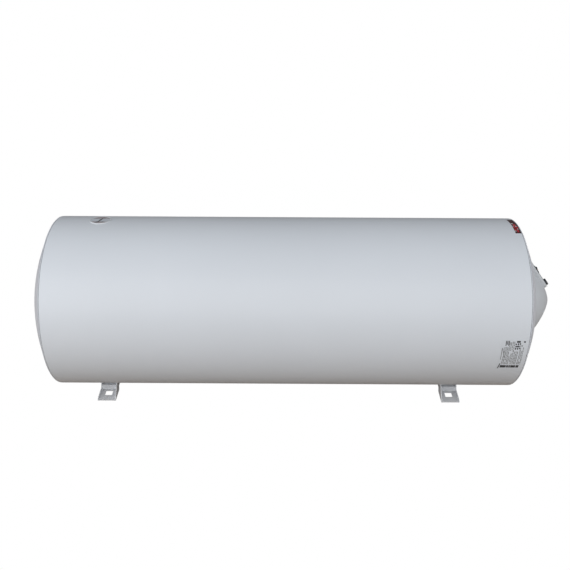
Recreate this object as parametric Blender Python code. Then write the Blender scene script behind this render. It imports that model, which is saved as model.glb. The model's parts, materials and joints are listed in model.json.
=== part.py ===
"""Horizontal electric storage water heater, lying on its two wall brackets.

+X runs along the tank to the electrical end, +Z points away from the mounting surface.
Everything hangs on the empty "tank_axis", whose X axis is the axis of the tank.
"""

import math

import bmesh
import bpy
from mathutils import Matrix, Vector

GAP = 0.0003                      # between pieces that touch
FIT = 0.0004                      # around a piece that moves or screws in

# Casing
CASING_DIAMETER = 0.505
CASING_LENGTH = 1.338
CASING_SHEET = 0.001
CAP_RISE = 0.068                  # how far a pressed end cap bulges
CAP_SKIRT = 0.012
CAP_OPENING = 0.190
ROUND = 40                        # sides of the large round pieces
DOME_STEPS = 4                    # facets from the rim of an end cap to its middle
HEAD_STEPS = 4                    # and of a tank head
COVER_SIDES = 36
COVER_STEPS = 6
CORNER_STEPS = 5                  # facets in a rounded corner of the console

# Inner tank
FOAM_THICKNESS = 0.0275           # from the casing's outside to the tank's
TANK_END_ROOM = 0.079             # from the end of the casing to the tank's straight part
TANK_SHEET = 0.0025
HEAD_RISE = 0.056
HEAD_OPENING = 0.110
FOAM_OPENING = 0.162

# Flange and what it carries
FLANGE_DIAMETER = 0.150
FLANGE_THICKNESS = 0.006
COLLAR_THICKNESS = 0.012
COLLAR_BORE = 0.100
GASKET_THICKNESS = 0.003
FLANGE_BOLTS = 5
FLANGE_BOLT_CIRCLE = 0.125
FLANGE_BOLT_DIAMETER = 0.008
ELEMENT_DIAMETER = 0.008
ELEMENT_LENGTH = 0.300
ELEMENT_SPREAD = 0.042
ELEMENT_HEIGHTS = (0.016, -0.011)
POCKET_DIAMETER = 0.011
POCKET_LENGTH = 0.260
POCKET_HEIGHT = 0.034
ANODE_DIAMETER = 0.022
ANODE_LENGTH = 0.280
ANODE_HEIGHT = -0.036
TERMINAL_STICKOUT = 0.020
TERMINAL_HEIGHT = 0.020

# Electrical cover
COVER_RADIUS = 0.137              # of the dome, before it meets the end cap
COVER_APEX = 0.1277               # beyond the end of the casing
COVER_DEPTH = 0.104               # half axis of the dome's curve along the tank
COVER_SHARPNESS = 1.5             # 1 is an ellipse, 2 is a straight cone
COVER_LIFT = 0.008                # the dome's axis above the tank's
COVER_WALL = 0.0025
COVER_OVERRUN = 0.012             # of its wall past the casing's end, before the cap trims it
COVER_SCREW_SPACING = 0.132
COVER_SCREW_DIAMETER = 0.004
STAY_BEHIND_APEX = 0.056
POST_RADIUS = 0.007
POST_SEAT = 0.012                 # from the stay to the screw's head
CONSOLE_TILT = math.radians(37.4) # the panel's normal rises this much from +X towards +Z
CONSOLE_WIDTH = 0.054
CONSOLE_LENGTH = 0.118
CONSOLE_DEPTH = 0.080
CONSOLE_START = (0.0131, 0.0625)  # its low end behind the apex, and above the axis
CONSOLE_CORNERS = (0.022, 0.010)  # radius of its low and of its high corners
CONSOLE_EDGE = 0.005
KNOB_AT = 0.013                   # along the panel, from its low end
KNOB_SIDE = -0.006
KNOB_DIAMETER = 0.022
KNOB_HEIGHT = 0.0065
SHAFT_DIAMETER = 0.006
SWITCH_AT = 0.0687
SWITCH_SIDE = -0.008
SWITCH_BODY = (0.019, 0.013)
SWITCH_RIM = 0.0012
SWITCH_WALL = 0.0014
SWITCH_DEPTH = 0.012
ROCKER_TILT = math.radians(10)
LAMP_AT = 0.054
LAMP_SIDE = 0.014
LAMP_DIAMETER = 0.008
REGULATOR_SETBACK = 0.018         # from the panel's face to the regulator
REGULATOR_SIZE = 0.026
REGULATOR_DEPTH = 0.024
GLAND_BEHIND_APEX = 0.0527
GLAND_SEAT_INSET = 0.025          # from the dome's radius to the flat pad under the gland
GLAND_PAD = 0.034
GLAND_DIAMETER = 0.020
GLAND_BORE = 0.009
GLAND_LENGTH = 0.046

# Dial thermometer
DIAL_DIAMETER = 0.0585
DIAL_INSET = 0.1288               # from the left end of the casing
DIAL_ANGLE = math.radians(8.2)
DIAL_RIM = 0.0025
NEEDLE_ANGLE = math.radians(-105)
NEEDLE_ROOM = 0.00325             # from the needle's tip to the edge of the housing
NEEDLE_TAIL = 0.014
HOUSING_DEPTH = 0.0070            # below the top of the casing
HOUSING_WALL = 0.0015
DIAL_SUNK = 0.0026                # the dial's face below the top of the casing
LENS_BOTTOM = 0.0006
LENS_TOP = 0.0004
PROBE_RADIUS = 0.004

# Water pipes
PIPE_DIAMETER = 0.0264
PIPE_BORE = 0.019
PIPE_STICKOUT = 0.028
PIPE_SPACING = 0.100
COLD_PIPE_AT = 0.300
COLD_PIPE_REACH = 0.032
HOT_PIPE_CLEARANCE = 0.018
SLEEVE_WALL = 0.0065
SLEEVE_LENGTH = 0.010

# Wall brackets
BRACKET_INSET = (0.1248, 0.1628)  # from the left and from the right end of the casing
BRACKET_NAMES = ("left", "right")
BRACKET_WIDTH = 0.0555
BRACKET_LENGTH = 0.311
BRACKET_SHEET = 0.003
BRACKET_STEP = 0.0122             # height of the raised middle's underside
BRACKET_STEP_AT = 0.097
BRACKET_STEP_RUN = 0.006
BRACKET_LIP = 0.012               # height of the inner turned-up side behind its rounded end
BRACKET_OUTER_LIP = 0.007         # height of the turned-up side nearer the casing's end
BRACKET_HOLE = 0.022
BRACKET_HOLE_SPACING = 0.243
BRACKET_BOLT_SPACING = 0.090
BRACKET_BOLT_DIAMETER = 0.010
BRACKET_BOLT_HEAD = 0.0065
BRACKET_BOLT_SHOULDER = 0.003     # from the shank to the flats of the head
BOSS_AROUND = 0.007               # of steel round the thread
LIP_CORNER = 0.010
LIP_SLOPE = 0.85                  # of the inner edge, up to where it follows the casing
BOSS_WALL = 0.001                 # left above the thread

# Marks
FILM = 0.0003
LABEL_INSET = (0.077, 0.005)      # its two sides from the right end of the casing
LABEL_ANGLES = (math.radians(-106.5), math.radians(-82))
BADGE_INSET = (0.0195, 0.0015)
BADGE_ANGLES = (math.radians(-8), math.radians(16.5))

RADIUS = CASING_DIAMETER / 2
END = CASING_LENGTH / 2
TANK_RADIUS = RADIUS - FOAM_THICKNESS
TANK_STRAIGHT = CASING_LENGTH - 2 * TANK_END_ROOM
AXIS_HEIGHT = BRACKET_STEP + BRACKET_SHEET + GAP + RADIUS
CAP_SPHERE = (RADIUS**2 + CAP_RISE**2) / (2 * CAP_RISE)
PLATE_BACK = TANK_STRAIGHT / 2 + HEAD_RISE + COLLAR_THICKNESS + GASKET_THICKNESS + 2 * GAP
PLATE_FRONT = PLATE_BACK + FLANGE_THICKNESS
PIPE_END = RADIUS + PIPE_STICKOUT
SLEEVE_RADIUS = PIPE_DIAMETER / 2 + GAP + SLEEVE_WALL
BRACKET_AT = (BRACKET_INSET[0] - END, END - BRACKET_INSET[1])
BOSS_RADIUS = BRACKET_BOLT_DIAMETER / 2 + BOSS_AROUND
DIAL_AT = DIAL_INSET - END
COVER_EQUATOR = END + COVER_APEX - COVER_DEPTH
GLAND_AT = END + COVER_APEX - GLAND_BEHIND_APEX
GLAND_SEAT = COVER_RADIUS - GLAND_SEAT_INSET


# ---------------------------------------------------------------- tools

def clear_scene():
    for old in list(bpy.data.objects):
        bpy.data.objects.remove(old, do_unlink=True)


def finish(name, colour, roughness, metallic=0.0, alpha=1.0):
    made = bpy.data.materials.new(name)
    made.use_nodes = True
    shader = made.node_tree.nodes["Principled BSDF"]
    shader.inputs["Base Color"].default_value = (*colour, 1.0)
    shader.inputs["Roughness"].default_value = roughness
    shader.inputs["Metallic"].default_value = metallic
    shader.inputs["Alpha"].default_value = alpha
    made.diffuse_color = (*colour, alpha)
    return made


def new_object(name, bm, surface, place, smooth=30):
    """Turns the bmesh into an object placed in the tank's own frame."""
    bmesh.ops.recalc_face_normals(bm, faces=bm.faces)
    mesh = bpy.data.meshes.new(name)
    bm.to_mesh(mesh)
    bm.free()
    if surface:
        mesh.materials.append(surface)
    mesh.shade_smooth()
    mesh.set_sharp_from_angle(angle=math.radians(smooth))
    made = bpy.data.objects.new(name, mesh)
    bpy.context.scene.collection.objects.link(made)
    made.parent = tank_axis
    made.matrix_basis = place
    return made


def cutter(name, bm, place):
    made = new_object(name, bm, None, place)
    made.hide_render = True
    made.display_type = "WIRE"
    return made


def boolean(target, other, operation="DIFFERENCE"):
    modifier = target.modifiers.new(other.name, "BOOLEAN")
    modifier.operation = operation
    modifier.solver = "EXACT"
    modifier.object = other


def weld(target):
    """Joins the nearly coincident points that a long row of Booleans leaves."""
    modifier = target.modifiers.new("weld", "WELD")
    modifier.merge_threshold = 0.00001


def turned(profile, sides):
    """A solid turned about Z from (radius, height) points; a profile that leaves the axis closes."""
    bm = bmesh.new()
    points = [bm.verts.new((radius, 0, height)) for radius, height in profile]
    edges = [bm.edges.new(pair) for pair in zip(points, points[1:])]
    if profile[0][0] > 0:
        edges.append(bm.edges.new((points[-1], points[0])))
    bmesh.ops.spin(
        bm, geom=points + edges, cent=(0, 0, 0), axis=(0, 0, 1), angle=math.tau, steps=sides,
        use_merge=True,
    )
    bmesh.ops.remove_doubles(bm, verts=bm.verts, dist=1e-7)
    return bm


def rod(radius, low, high, sides=20):
    return turned([(0, low), (radius, low), (radius, high), (0, high)], sides)


def tube(inner, outer, low, high, sides=20):
    return turned([(inner, low), (outer, low), (outer, high), (inner, high)], sides)


def box(size, centre=(0, 0, 0), rounding=0.0):
    bm = bmesh.new()
    bmesh.ops.create_cube(bm, size=1, matrix=Matrix.Translation(centre) @ Matrix.Diagonal((*size, 1)))
    if rounding:
        bmesh.ops.bevel(bm, geom=bm.edges[:], offset=rounding, segments=2, affect="EDGES", profile=0.5)
    return bm


def slab(outline, low, high, rounding=0.0):
    """An outline in the XZ plane, drawn out along Y."""
    bm = bmesh.new()
    face = bm.faces.new([bm.verts.new((x, low, z)) for x, z in outline])
    drawn = bmesh.ops.extrude_face_region(bm, geom=[face])["geom"]
    moved = [item for item in drawn if isinstance(item, bmesh.types.BMVert)]
    bmesh.ops.translate(bm, verts=moved, vec=(0, high - low, 0))
    if rounding:
        bmesh.ops.recalc_face_normals(bm, faces=bm.faces)
        bmesh.ops.bevel(bm, geom=bm.edges[:], offset=rounding, segments=3, affect="EDGES", profile=0.5)
    return bm


def stacked(rings):
    """A solid through rings of the same number of points, closed flat at both ends."""
    bm = bmesh.new()
    rows = [[bm.verts.new(point) for point in ring] for ring in rings]
    for low, high in zip(rows, rows[1:]):
        for i in range(len(low)):
            j = (i + 1) % len(low)
            bm.faces.new((low[i], low[j], high[j], high[i]))
    bm.faces.new(rows[0])
    bm.faces.new(rows[-1])
    return bm


def ring_of(radius, height, sides=12, across=0.0):
    """A ring of points; with `across` it is a hexagon of that width over its flats."""
    points = []
    for i in range(sides):
        turn = math.tau * i / sides
        reach = radius
        if across:
            from_flat = (turn + math.pi / 6) % (math.pi / 3) - math.pi / 6
            reach = across / 2 / math.cos(from_flat)
        points.append((reach * math.cos(turn), reach * math.sin(turn), height))
    return points


def hex_bolt(diameter, reach, head, across):
    """A bolt whose head sits on height 0 and whose shank runs down."""
    return stacked([
        ring_of(diameter / 2, -reach),
        ring_of(diameter / 2, 0),
        ring_of(0, 0, across=across),
        ring_of(0, head, across=across),
    ])


def tube_along(name, points, diameter, surface, place=Matrix(), rounded=4):
    """A round bar along a smooth curve through the points."""
    route = smooth_route([Vector(point) for point in points], rounded)
    curve = bpy.data.curves.new(name, "CURVE")
    curve.dimensions = "3D"
    curve.bevel_depth = diameter / 2
    curve.bevel_resolution = 2
    curve.use_fill_caps = True
    spline = curve.splines.new("POLY")
    spline.points.add(len(route) - 1)
    for point, at in zip(spline.points, route):
        point.co = (*at, 1)
    curve.materials.append(surface)
    made = bpy.data.objects.new(name, curve)
    bpy.context.scene.collection.objects.link(made)
    made.parent = tank_axis
    made.matrix_basis = place
    return made


def smooth_route(points, steps):
    """Catmull-Rom points through the given ones."""
    ends = [2 * points[0] - points[1], *points, 2 * points[-1] - points[-2]]
    route = []
    for a, b, c, d in zip(ends, ends[1:], ends[2:], ends[3:]):
        for i in range(steps):
            t = i / steps
            route.append(
                0.5 * (2 * b + (c - a) * t + (2 * a - 5 * b + 4 * c - d) * t**2
                       + (3 * b - a - 3 * c + d) * t**3)
            )
    return [*route, points[-1]]


def to_right(x=0.0, y=0.0, z=0.0):
    """Places a piece made along Z so that it runs along +X."""
    return Matrix.Translation((x, y, z)) @ Matrix.Rotation(math.pi / 2, 4, "Y")


def to_left(x=0.0):
    return Matrix.Translation((x, 0, 0)) @ Matrix.Rotation(-math.pi / 2, 4, "Y")


def outwards(x, angle):
    """Places a piece made along Z so that it points away from the axis; angle 0 is +Z, 90 is +Y."""
    return Matrix.Translation((x, 0, 0)) @ Matrix.Rotation(-angle, 4, "X")


def dome(offset, start, stop, steps):
    """Points on an end cap's sphere, this far inside it, from one radius to another."""
    sphere = CAP_SPHERE - offset
    angles = (math.asin(start / sphere), math.asin(stop / sphere))
    points = []
    for i in range(steps + 1):
        angle = angles[0] + (angles[1] - angles[0]) * i / steps
        height = CAP_RISE - CAP_SPHERE + sphere * math.cos(angle)
        points.append((sphere * math.sin(angle), height))
    if stop == 0:
        points[-1] = (0, points[-1][1])
    return points


def oval(radius, rise, base, steps=8, inwards=1.0, sharpness=1.0):
    """Points on a quarter ellipse from its rim towards the axis; inwards 1 reaches the axis."""
    points = []
    for i in range(steps + 1):
        angle = math.pi / 2 * inwards * i / steps
        across = max(0.0, math.cos(angle)) ** sharpness
        points.append((radius * across, base + rise * math.sin(angle) ** sharpness))
    if inwards == 1.0:
        points[-1] = (0, base + rise)
    return points


# ---------------------------------------------------------------- casing

def pipe_places():
    return (("cold", COLD_PIPE_AT), ("hot", COLD_PIPE_AT - PIPE_SPACING))


def bolt_places():
    """The bracket bolts: name, x and y in the tank's frame."""
    for side, x in zip(BRACKET_NAMES, BRACKET_AT):
        for where, sign in (("upper", -1), ("lower", 1)):
            yield f"{side}_bracket_bolt_{where}", x, sign * BRACKET_BOLT_SPACING / 2


def make_casing():
    casing = new_object(
        "outer_casing", tube(RADIUS - CASING_SHEET, RADIUS, -END + GAP, END - GAP, ROUND),
        WHITE_STEEL, to_right(),
    )
    for name, x in pipe_places():
        bore = rod(PIPE_DIAMETER / 2 + 2 * FIT, RADIUS * 0.8, RADIUS * 1.2)
        boolean(casing, cutter(f"casing_{name}_cut", bore, outwards(x, math.pi / 2)))
    for name, x, y in bolt_places():
        bore = rod(BRACKET_BOLT_DIAMETER / 2 + 2 * FIT, -RADIUS * 1.1, -RADIUS * 0.8)
        boolean(casing, cutter(f"casing_{name}_cut", bore, Matrix.Translation((x, y, 0))))
    dial = rod(DIAL_DIAMETER / 2 + FIT, RADIUS * 0.9, RADIUS * 1.1, 32)
    boolean(casing, cutter("casing_dial_cut", dial, outwards(DIAL_AT, DIAL_ANGLE)))


def make_end_cap(name, place, opening=0.0):
    skirt = RADIUS - CASING_SHEET - GAP
    inner = dome(CASING_SHEET, opening, skirt - CASING_SHEET, DOME_STEPS)
    lower = [(skirt - CASING_SHEET, -CAP_SKIRT), (skirt, -CAP_SKIRT), (skirt, 0)]
    outer = dome(0, RADIUS, opening, DOME_STEPS)
    if not opening:
        inner[0] = (0, inner[0][1])
    new_object(name, turned(inner + lower + outer, ROUND), WHITE_STEEL, place)


def clipped(points, radius):
    """The points down to this radius, ending on the line between the two around it."""
    kept = [point for point in points if point[0] > radius]
    if len(kept) == len(points):
        return kept
    (r0, z0), (r1, z1) = kept[-1], points[len(kept)]
    share = (r0 - radius) / (r0 - r1)
    return [*kept, (radius, z0 + (z1 - z0) * share)]


def tank_head(outside, opening=0.0):
    """A tank head's curve from its rim inwards, this far outside the steel's outer face."""
    radius = TANK_RADIUS + outside
    share = 1 - math.asin(opening / TANK_RADIUS) / (math.pi / 2)
    return oval(radius, HEAD_RISE + outside, 0, HEAD_STEPS, share)


def make_foam():
    """One foamed body round the tank, open at the flange."""
    wide = RADIUS - CASING_SHEET - GAP
    narrow = wide - GAP - CASING_SHEET - GAP
    step = END - CAP_SKIRT - GAP
    reach = TANK_RADIUS + GAP
    opening = FOAM_OPENING / 2
    right = dome(CASING_SHEET + GAP, narrow, CAP_OPENING / 2, DOME_STEPS)
    if opening < CAP_OPENING / 2:
        right += dome(CASING_SHEET + GAP, opening, opening, 1)[:1]
    right = [(r, END + h) for r, h in clipped(right, opening)]
    left = [(r, -END - h) for r, h in dome(CASING_SHEET + GAP, narrow, 0, DOME_STEPS)]
    head = clipped(tank_head(GAP, HEAD_OPENING / 2), opening)
    head = [(r, z + TANK_STRAIGHT / 2) for r, z in head]
    far_head = [(r, -z - TANK_STRAIGHT / 2) for r, z in tank_head(GAP)]
    profile = [
        *left[::-1], (narrow, -step), (wide, -step), (wide, step), (narrow, step),
        *right, *head[::-1], *far_head,
    ]
    foam = new_object("foam_insulation", turned(profile, ROUND), FOAM, to_right())
    for name, x in pipe_places():
        bore = rod(PIPE_DIAMETER / 2 + 2 * FIT, TANK_RADIUS * 0.7, RADIUS * 1.1)
        boolean(foam, cutter(f"foam_{name}_cut", bore, outwards(x, math.pi / 2)))
    for name, x, y in bolt_places():
        bore = rod(BOSS_RADIUS + 2 * FIT, -RADIUS * 1.1, -TANK_RADIUS * 0.8)
        boolean(foam, cutter(f"foam_{name}_cut", bore, Matrix.Translation((x, y, 0))))
    cup = rod(DIAL_DIAMETER / 2 + FIT, RADIUS - HOUSING_DEPTH - 0.001, RADIUS * 1.1, 32)
    boolean(foam, cutter("foam_dial_cut", cup, outwards(DIAL_AT, DIAL_ANGLE)))
    probe = rod(PROBE_RADIUS + 0.001, TANK_RADIUS * 0.9, RADIUS * 1.05, 16)
    boolean(foam, cutter("foam_probe_cut", probe, outwards(DIAL_AT, DIAL_ANGLE)))


# ---------------------------------------------------------------- inner tank

def tank_boss():
    """A threaded boss under the tank, from inside the casing up into the tank's wall."""
    outer = BOSS_RADIUS
    inner = BRACKET_BOLT_DIAMETER / 2 + FIT
    far = BRACKET_BOLT_SPACING / 2 + outer
    bottom = 3 * GAP - math.sqrt((RADIUS - CASING_SHEET) ** 2 - far**2)
    top = -math.sqrt((TANK_RADIUS - TANK_SHEET / 2) ** 2 - far**2)
    end = -TANK_RADIUS - BOSS_WALL
    profile = [(0, end), (inner, end), (inner, bottom), (outer, bottom), (outer, top), (0, top)]
    return turned(profile, 16)


def make_tank():
    half = TANK_STRAIGHT / 2 - GAP
    shell = new_object(
        "inner_tank_shell", tube(TANK_RADIUS - TANK_SHEET, TANK_RADIUS, -half, half, ROUND),
        ENAMEL, to_right(),
    )
    for name, x, y in bolt_places():
        boss = cutter(f"{name}_boss", tank_boss(), Matrix.Translation((x, y, 0)))
        boolean(shell, boss, "UNION")
    for name, x in pipe_places():
        bore = rod(PIPE_DIAMETER / 2 + FIT, TANK_RADIUS * 0.8, TANK_RADIUS * 1.2)
        boolean(shell, cutter(f"tank_{name}_cut", bore, outwards(x, math.pi / 2)))
    for name, place, opening in (
        ("left_tank_head", to_left(-TANK_STRAIGHT / 2), 0.0),
        ("right_tank_head", to_right(TANK_STRAIGHT / 2), HEAD_OPENING / 2),
    ):
        profile = tank_head(-TANK_SHEET, opening)[::-1] + tank_head(0, opening)
        new_object(name, turned(profile, ROUND), ENAMEL, place)


def make_pipe(name, x, low):
    pipe = tube(PIPE_BORE / 2, PIPE_DIAMETER / 2, low, PIPE_END)
    new_object(name, pipe, STEEL, outwards(x, math.pi / 2))


def make_sleeve(name, x, surface):
    start = RADIUS + GAP
    ring = tube(PIPE_DIAMETER / 2 + GAP, SLEEVE_RADIUS, start, start + SLEEVE_LENGTH)
    new_object(name, ring, surface, outwards(x, math.pi / 2))


def make_diffuser(x, low):
    """A slotted cup that turns the cold water aside."""
    inner = PIPE_DIAMETER / 2 + GAP
    cup = turned([
        (0, low - 0.022), (inner + 0.002, low - 0.022), (inner + 0.002, low + 0.008),
        (inner, low + 0.008), (inner, low - 0.020), (0, low - 0.020),
    ], 16)
    diffuser = new_object("inlet_diffuser", cup, WHITE_PLASTIC, outwards(x, math.pi / 2))
    slots = box((0.05, 0.012, 0.012), (0, 0, low - 0.010))
    boolean(diffuser, cutter("diffuser_slots", slots, outwards(x, math.pi / 2)))


def make_water_pipes():
    cold_low = TANK_RADIUS - COLD_PIPE_REACH
    hot_low = -TANK_RADIUS + TANK_SHEET + HOT_PIPE_CLEARANCE
    (_, cold_x), (_, hot_x) = pipe_places()
    make_pipe("cold_inlet_pipe", cold_x, cold_low)
    make_pipe("hot_outlet_pipe", hot_x, hot_low)
    make_sleeve("cold_inlet_sleeve", cold_x, BLUE_PLASTIC)
    make_sleeve("hot_outlet_sleeve", hot_x, RED_PLASTIC)
    make_diffuser(cold_x, cold_low)


# ---------------------------------------------------------------- flange

def around(count, circle, start=0.0):
    """Places on a circle about the axis, the first one towards +Z."""
    for i in range(count):
        angle = start + math.tau * i / count
        yield i + 1, circle / 2 * math.sin(angle), circle / 2 * math.cos(angle)


def element_legs():
    for i, height in enumerate(ELEMENT_HEIGHTS):
        for sign in (-1, 1):
            yield f"{i + 1}_{'in' if sign < 0 else 'out'}", sign * ELEMENT_SPREAD / 2, height


def make_flange():
    collar_back = TANK_STRAIGHT / 2 + HEAD_RISE
    collar = new_object(
        "flange_collar",
        tube(COLLAR_BORE / 2, FLANGE_DIAMETER / 2, collar_back, collar_back + COLLAR_THICKNESS, 30),
        STEEL, to_right(),
    )
    gasket_back = collar_back + COLLAR_THICKNESS + GAP
    bolt_inside = FLANGE_BOLT_CIRCLE / 2 - FLANGE_BOLT_DIAMETER / 2 - 2 * FIT
    gasket = tube(COLLAR_BORE / 2, bolt_inside, gasket_back, gasket_back + GASKET_THICKNESS, 30)
    new_object("flange_gasket", gasket, RUBBER, to_right())
    plate = new_object(
        "flange_plate", rod(FLANGE_DIAMETER / 2, PLATE_BACK, PLATE_FRONT, 30), STEEL, to_right()
    )
    for i, y, z in around(FLANGE_BOLTS, FLANGE_BOLT_CIRCLE):
        bore = rod(FLANGE_BOLT_DIAMETER / 2 + FIT, collar_back - 0.01, PLATE_FRONT + 0.01, 12)
        cut = cutter(f"flange_bolt_cut_{i}", bore, to_right(0, y, z))
        boolean(plate, cut)
        boolean(collar, cut)
        reach = PLATE_FRONT + GAP - collar_back
        bolt = hex_bolt(FLANGE_BOLT_DIAMETER, reach, 0.0055, 0.013)
        new_object(f"flange_bolt_{i}", bolt, STEEL, to_right(PLATE_FRONT + GAP, y, z))
    for name, y, z in element_legs():
        bore = rod(ELEMENT_DIAMETER / 2 + FIT, PLATE_BACK - 0.01, PLATE_FRONT + 0.01, 12)
        boolean(plate, cutter(f"element_cut_{name}", bore, to_right(0, y, z)))
    for name, diameter, z in (("pocket", POCKET_DIAMETER, POCKET_HEIGHT), ("anode", 0.008, ANODE_HEIGHT)):
        bore = rod(diameter / 2 + FIT, PLATE_BACK - 0.01, PLATE_FRONT + 0.01, 12)
        boolean(plate, cutter(f"{name}_cut", bore, to_right(0, 0, z)))


def make_elements():
    """Each element is a hairpin whose two legs pass through the flange plate."""
    spread = ELEMENT_SPREAD / 2
    tip = PLATE_FRONT + TERMINAL_STICKOUT
    bend = PLATE_BACK - ELEMENT_LENGTH + spread
    for i, height in enumerate(ELEMENT_HEIGHTS):
        turn = [
            (bend - spread * math.sin(math.pi * k / 8), -spread * math.cos(math.pi * k / 8), height)
            for k in range(9)
        ]
        route = [(tip, -spread, height), *turn, (tip, spread, height)]
        tube_along(f"heating_element_{i + 1}", route, ELEMENT_DIAMETER, COPPER, rounded=1)


def make_pocket():
    outer = POCKET_DIAMETER / 2
    inner = outer - 0.0012
    low = PLATE_BACK - POCKET_LENGTH
    high = PLATE_FRONT + 0.003
    floor = low + 0.002
    profile = [(0, low), (outer, low), (outer, high), (inner, high), (inner, floor), (0, floor)]
    new_object("thermostat_pocket", turned(profile, 16), STEEL, to_right(0, 0, POCKET_HEIGHT))


def make_anode():
    low = PLATE_BACK - 0.004 - ANODE_LENGTH
    profile = [
        (0, low), (ANODE_DIAMETER / 2, low), (ANODE_DIAMETER / 2, PLATE_BACK - 0.004),
        (0.004, PLATE_BACK - 0.004), (0.004, PLATE_FRONT), (0, PLATE_FRONT),
    ]
    new_object("magnesium_anode", turned(profile, 20), MAGNESIUM, to_right(0, 0, ANODE_HEIGHT))


def make_cutout():
    """Thermal cut-out on the flange plate, with its reset button."""
    base = PLATE_FRONT + GAP
    place = to_right(base, 0, ANODE_HEIGHT)
    body = new_object("thermal_cutout", box((0.026, 0.026, 0.024), (0, 0, 0.012), 0.0015),
                      DARK_PLASTIC, place)
    boolean(body, cutter("cutout_bore", rod(0.0035 + FIT, 0.014, 0.03, 16), place))
    button = rod(0.0035, 0, 0.012, 16)
    new_object("reset_button", button, RED_PLASTIC, to_right(base + 0.0180, 0, ANODE_HEIGHT))


def make_terminals():
    block = box((0.020, 0.026, TERMINAL_HEIGHT), (0, 0, TERMINAL_HEIGHT / 2), 0.0015)
    new_object("terminal_block", block, WHITE_PLASTIC, to_right(PLATE_FRONT + GAP, -0.036, 0.040))
    stud = stacked([
        ring_of(0.003, 0), ring_of(0.003, 0.006), ring_of(0, 0.006, across=0.008),
        ring_of(0, 0.010, across=0.008), ring_of(0.003, 0.010), ring_of(0.003, 0.015),
    ])
    new_object("earth_stud", stud, BRASS, to_right(PLATE_FRONT + GAP, 0.036, 0.036))


# ---------------------------------------------------------------- electrical cover

def stay_top():
    return END + COVER_APEX - STAY_BEHIND_APEX


def cover_screw_places():
    """The cover's two screws: number, and how far to the side."""
    return ((1, -COVER_SCREW_SPACING / 2), (2, COVER_SCREW_SPACING / 2))


def make_stay():
    """A column on the flange plate with a crossbar that takes the cover's screws."""
    top = stay_top()
    bar = box((0.014, COVER_SCREW_SPACING + 0.016, 0.003))
    stay = new_object("cover_stay", bar, STEEL, to_right(top - 0.0015, 0, COVER_LIFT))
    column = rod(0.006, PLATE_FRONT + GAP, top - 0.002, 16)
    boolean(stay, cutter("stay_column", column, to_right(0, 0, COVER_LIFT)), "UNION")
    for i, y in cover_screw_places():
        bore = rod(COVER_SCREW_DIAMETER / 2 + GAP, -0.01, 0.01, 12)
        boolean(stay, cutter(f"stay_cut_{i}", bore, to_right(top, y, COVER_LIFT)))


def panel_place(along, across=0.0, above=0.0):
    """A place on the console's panel whose Z points out of it and whose X runs towards the casing."""
    normal = Vector((math.cos(CONSOLE_TILT), 0, math.sin(CONSOLE_TILT)))
    up = Vector((-math.sin(CONSOLE_TILT), 0, math.cos(CONSOLE_TILT)))
    start = Vector((END + COVER_APEX - CONSOLE_START[0], 0, CONSOLE_START[1]))
    at = start + up * along + Vector((0, across, 0)) + normal * above
    turn = Matrix((up, normal.cross(up), normal)).transposed().to_4x4()
    return Matrix.Translation(at) @ turn


def rounded_outline(inset, height):
    """The console's outline this far inside its sides, in the panel's own frame."""
    low, high = CONSOLE_CORNERS
    half = CONSOLE_WIDTH / 2
    points = []
    for corner, (end, side, radius) in enumerate((
        (CONSOLE_LENGTH - high, half - high, high), (low, half - low, low),
        (low, low - half, low), (CONSOLE_LENGTH - high, high - half, high),
    )):
        for i in range(CORNER_STEPS + 1):
            turn = math.pi / 2 * (corner + i / CORNER_STEPS)
            reach = radius - inset
            points.append((end + reach * math.cos(turn), side + reach * math.sin(turn), height))
    return points


def console(inset):
    """The raised block under the control panel, this far inside its outer faces."""
    edge = CONSOLE_EDGE
    rings = [rounded_outline(inset, -CONSOLE_DEPTH)]
    for share in (0.0, 0.5, 1.0):
        turn = math.pi / 2 * share
        pull = edge * (1 - math.cos(turn))
        rings.append(rounded_outline(inset + pull, -inset - edge * (1 - math.sin(turn))))
    return stacked(rings)


def cover_dome(inset, base):
    radius = COVER_RADIUS - inset
    rise = COVER_DEPTH - inset
    curve = oval(radius, rise, COVER_EQUATOR, COVER_STEPS, 1.0, COVER_SHARPNESS)
    return turned([(0, base), (radius, base), *curve], COVER_SIDES)


def middle_of_wall(radius):
    """Where the middle of the dome's wall lies along the tank, this far from the dome's axis."""
    share = (radius / (COVER_RADIUS - COVER_WALL / 2)) ** (1 / COVER_SHARPNESS)
    rise = COVER_DEPTH - COVER_WALL / 2
    return COVER_EQUATOR + rise * math.sqrt(1 - share**2) ** COVER_SHARPNESS


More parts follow.
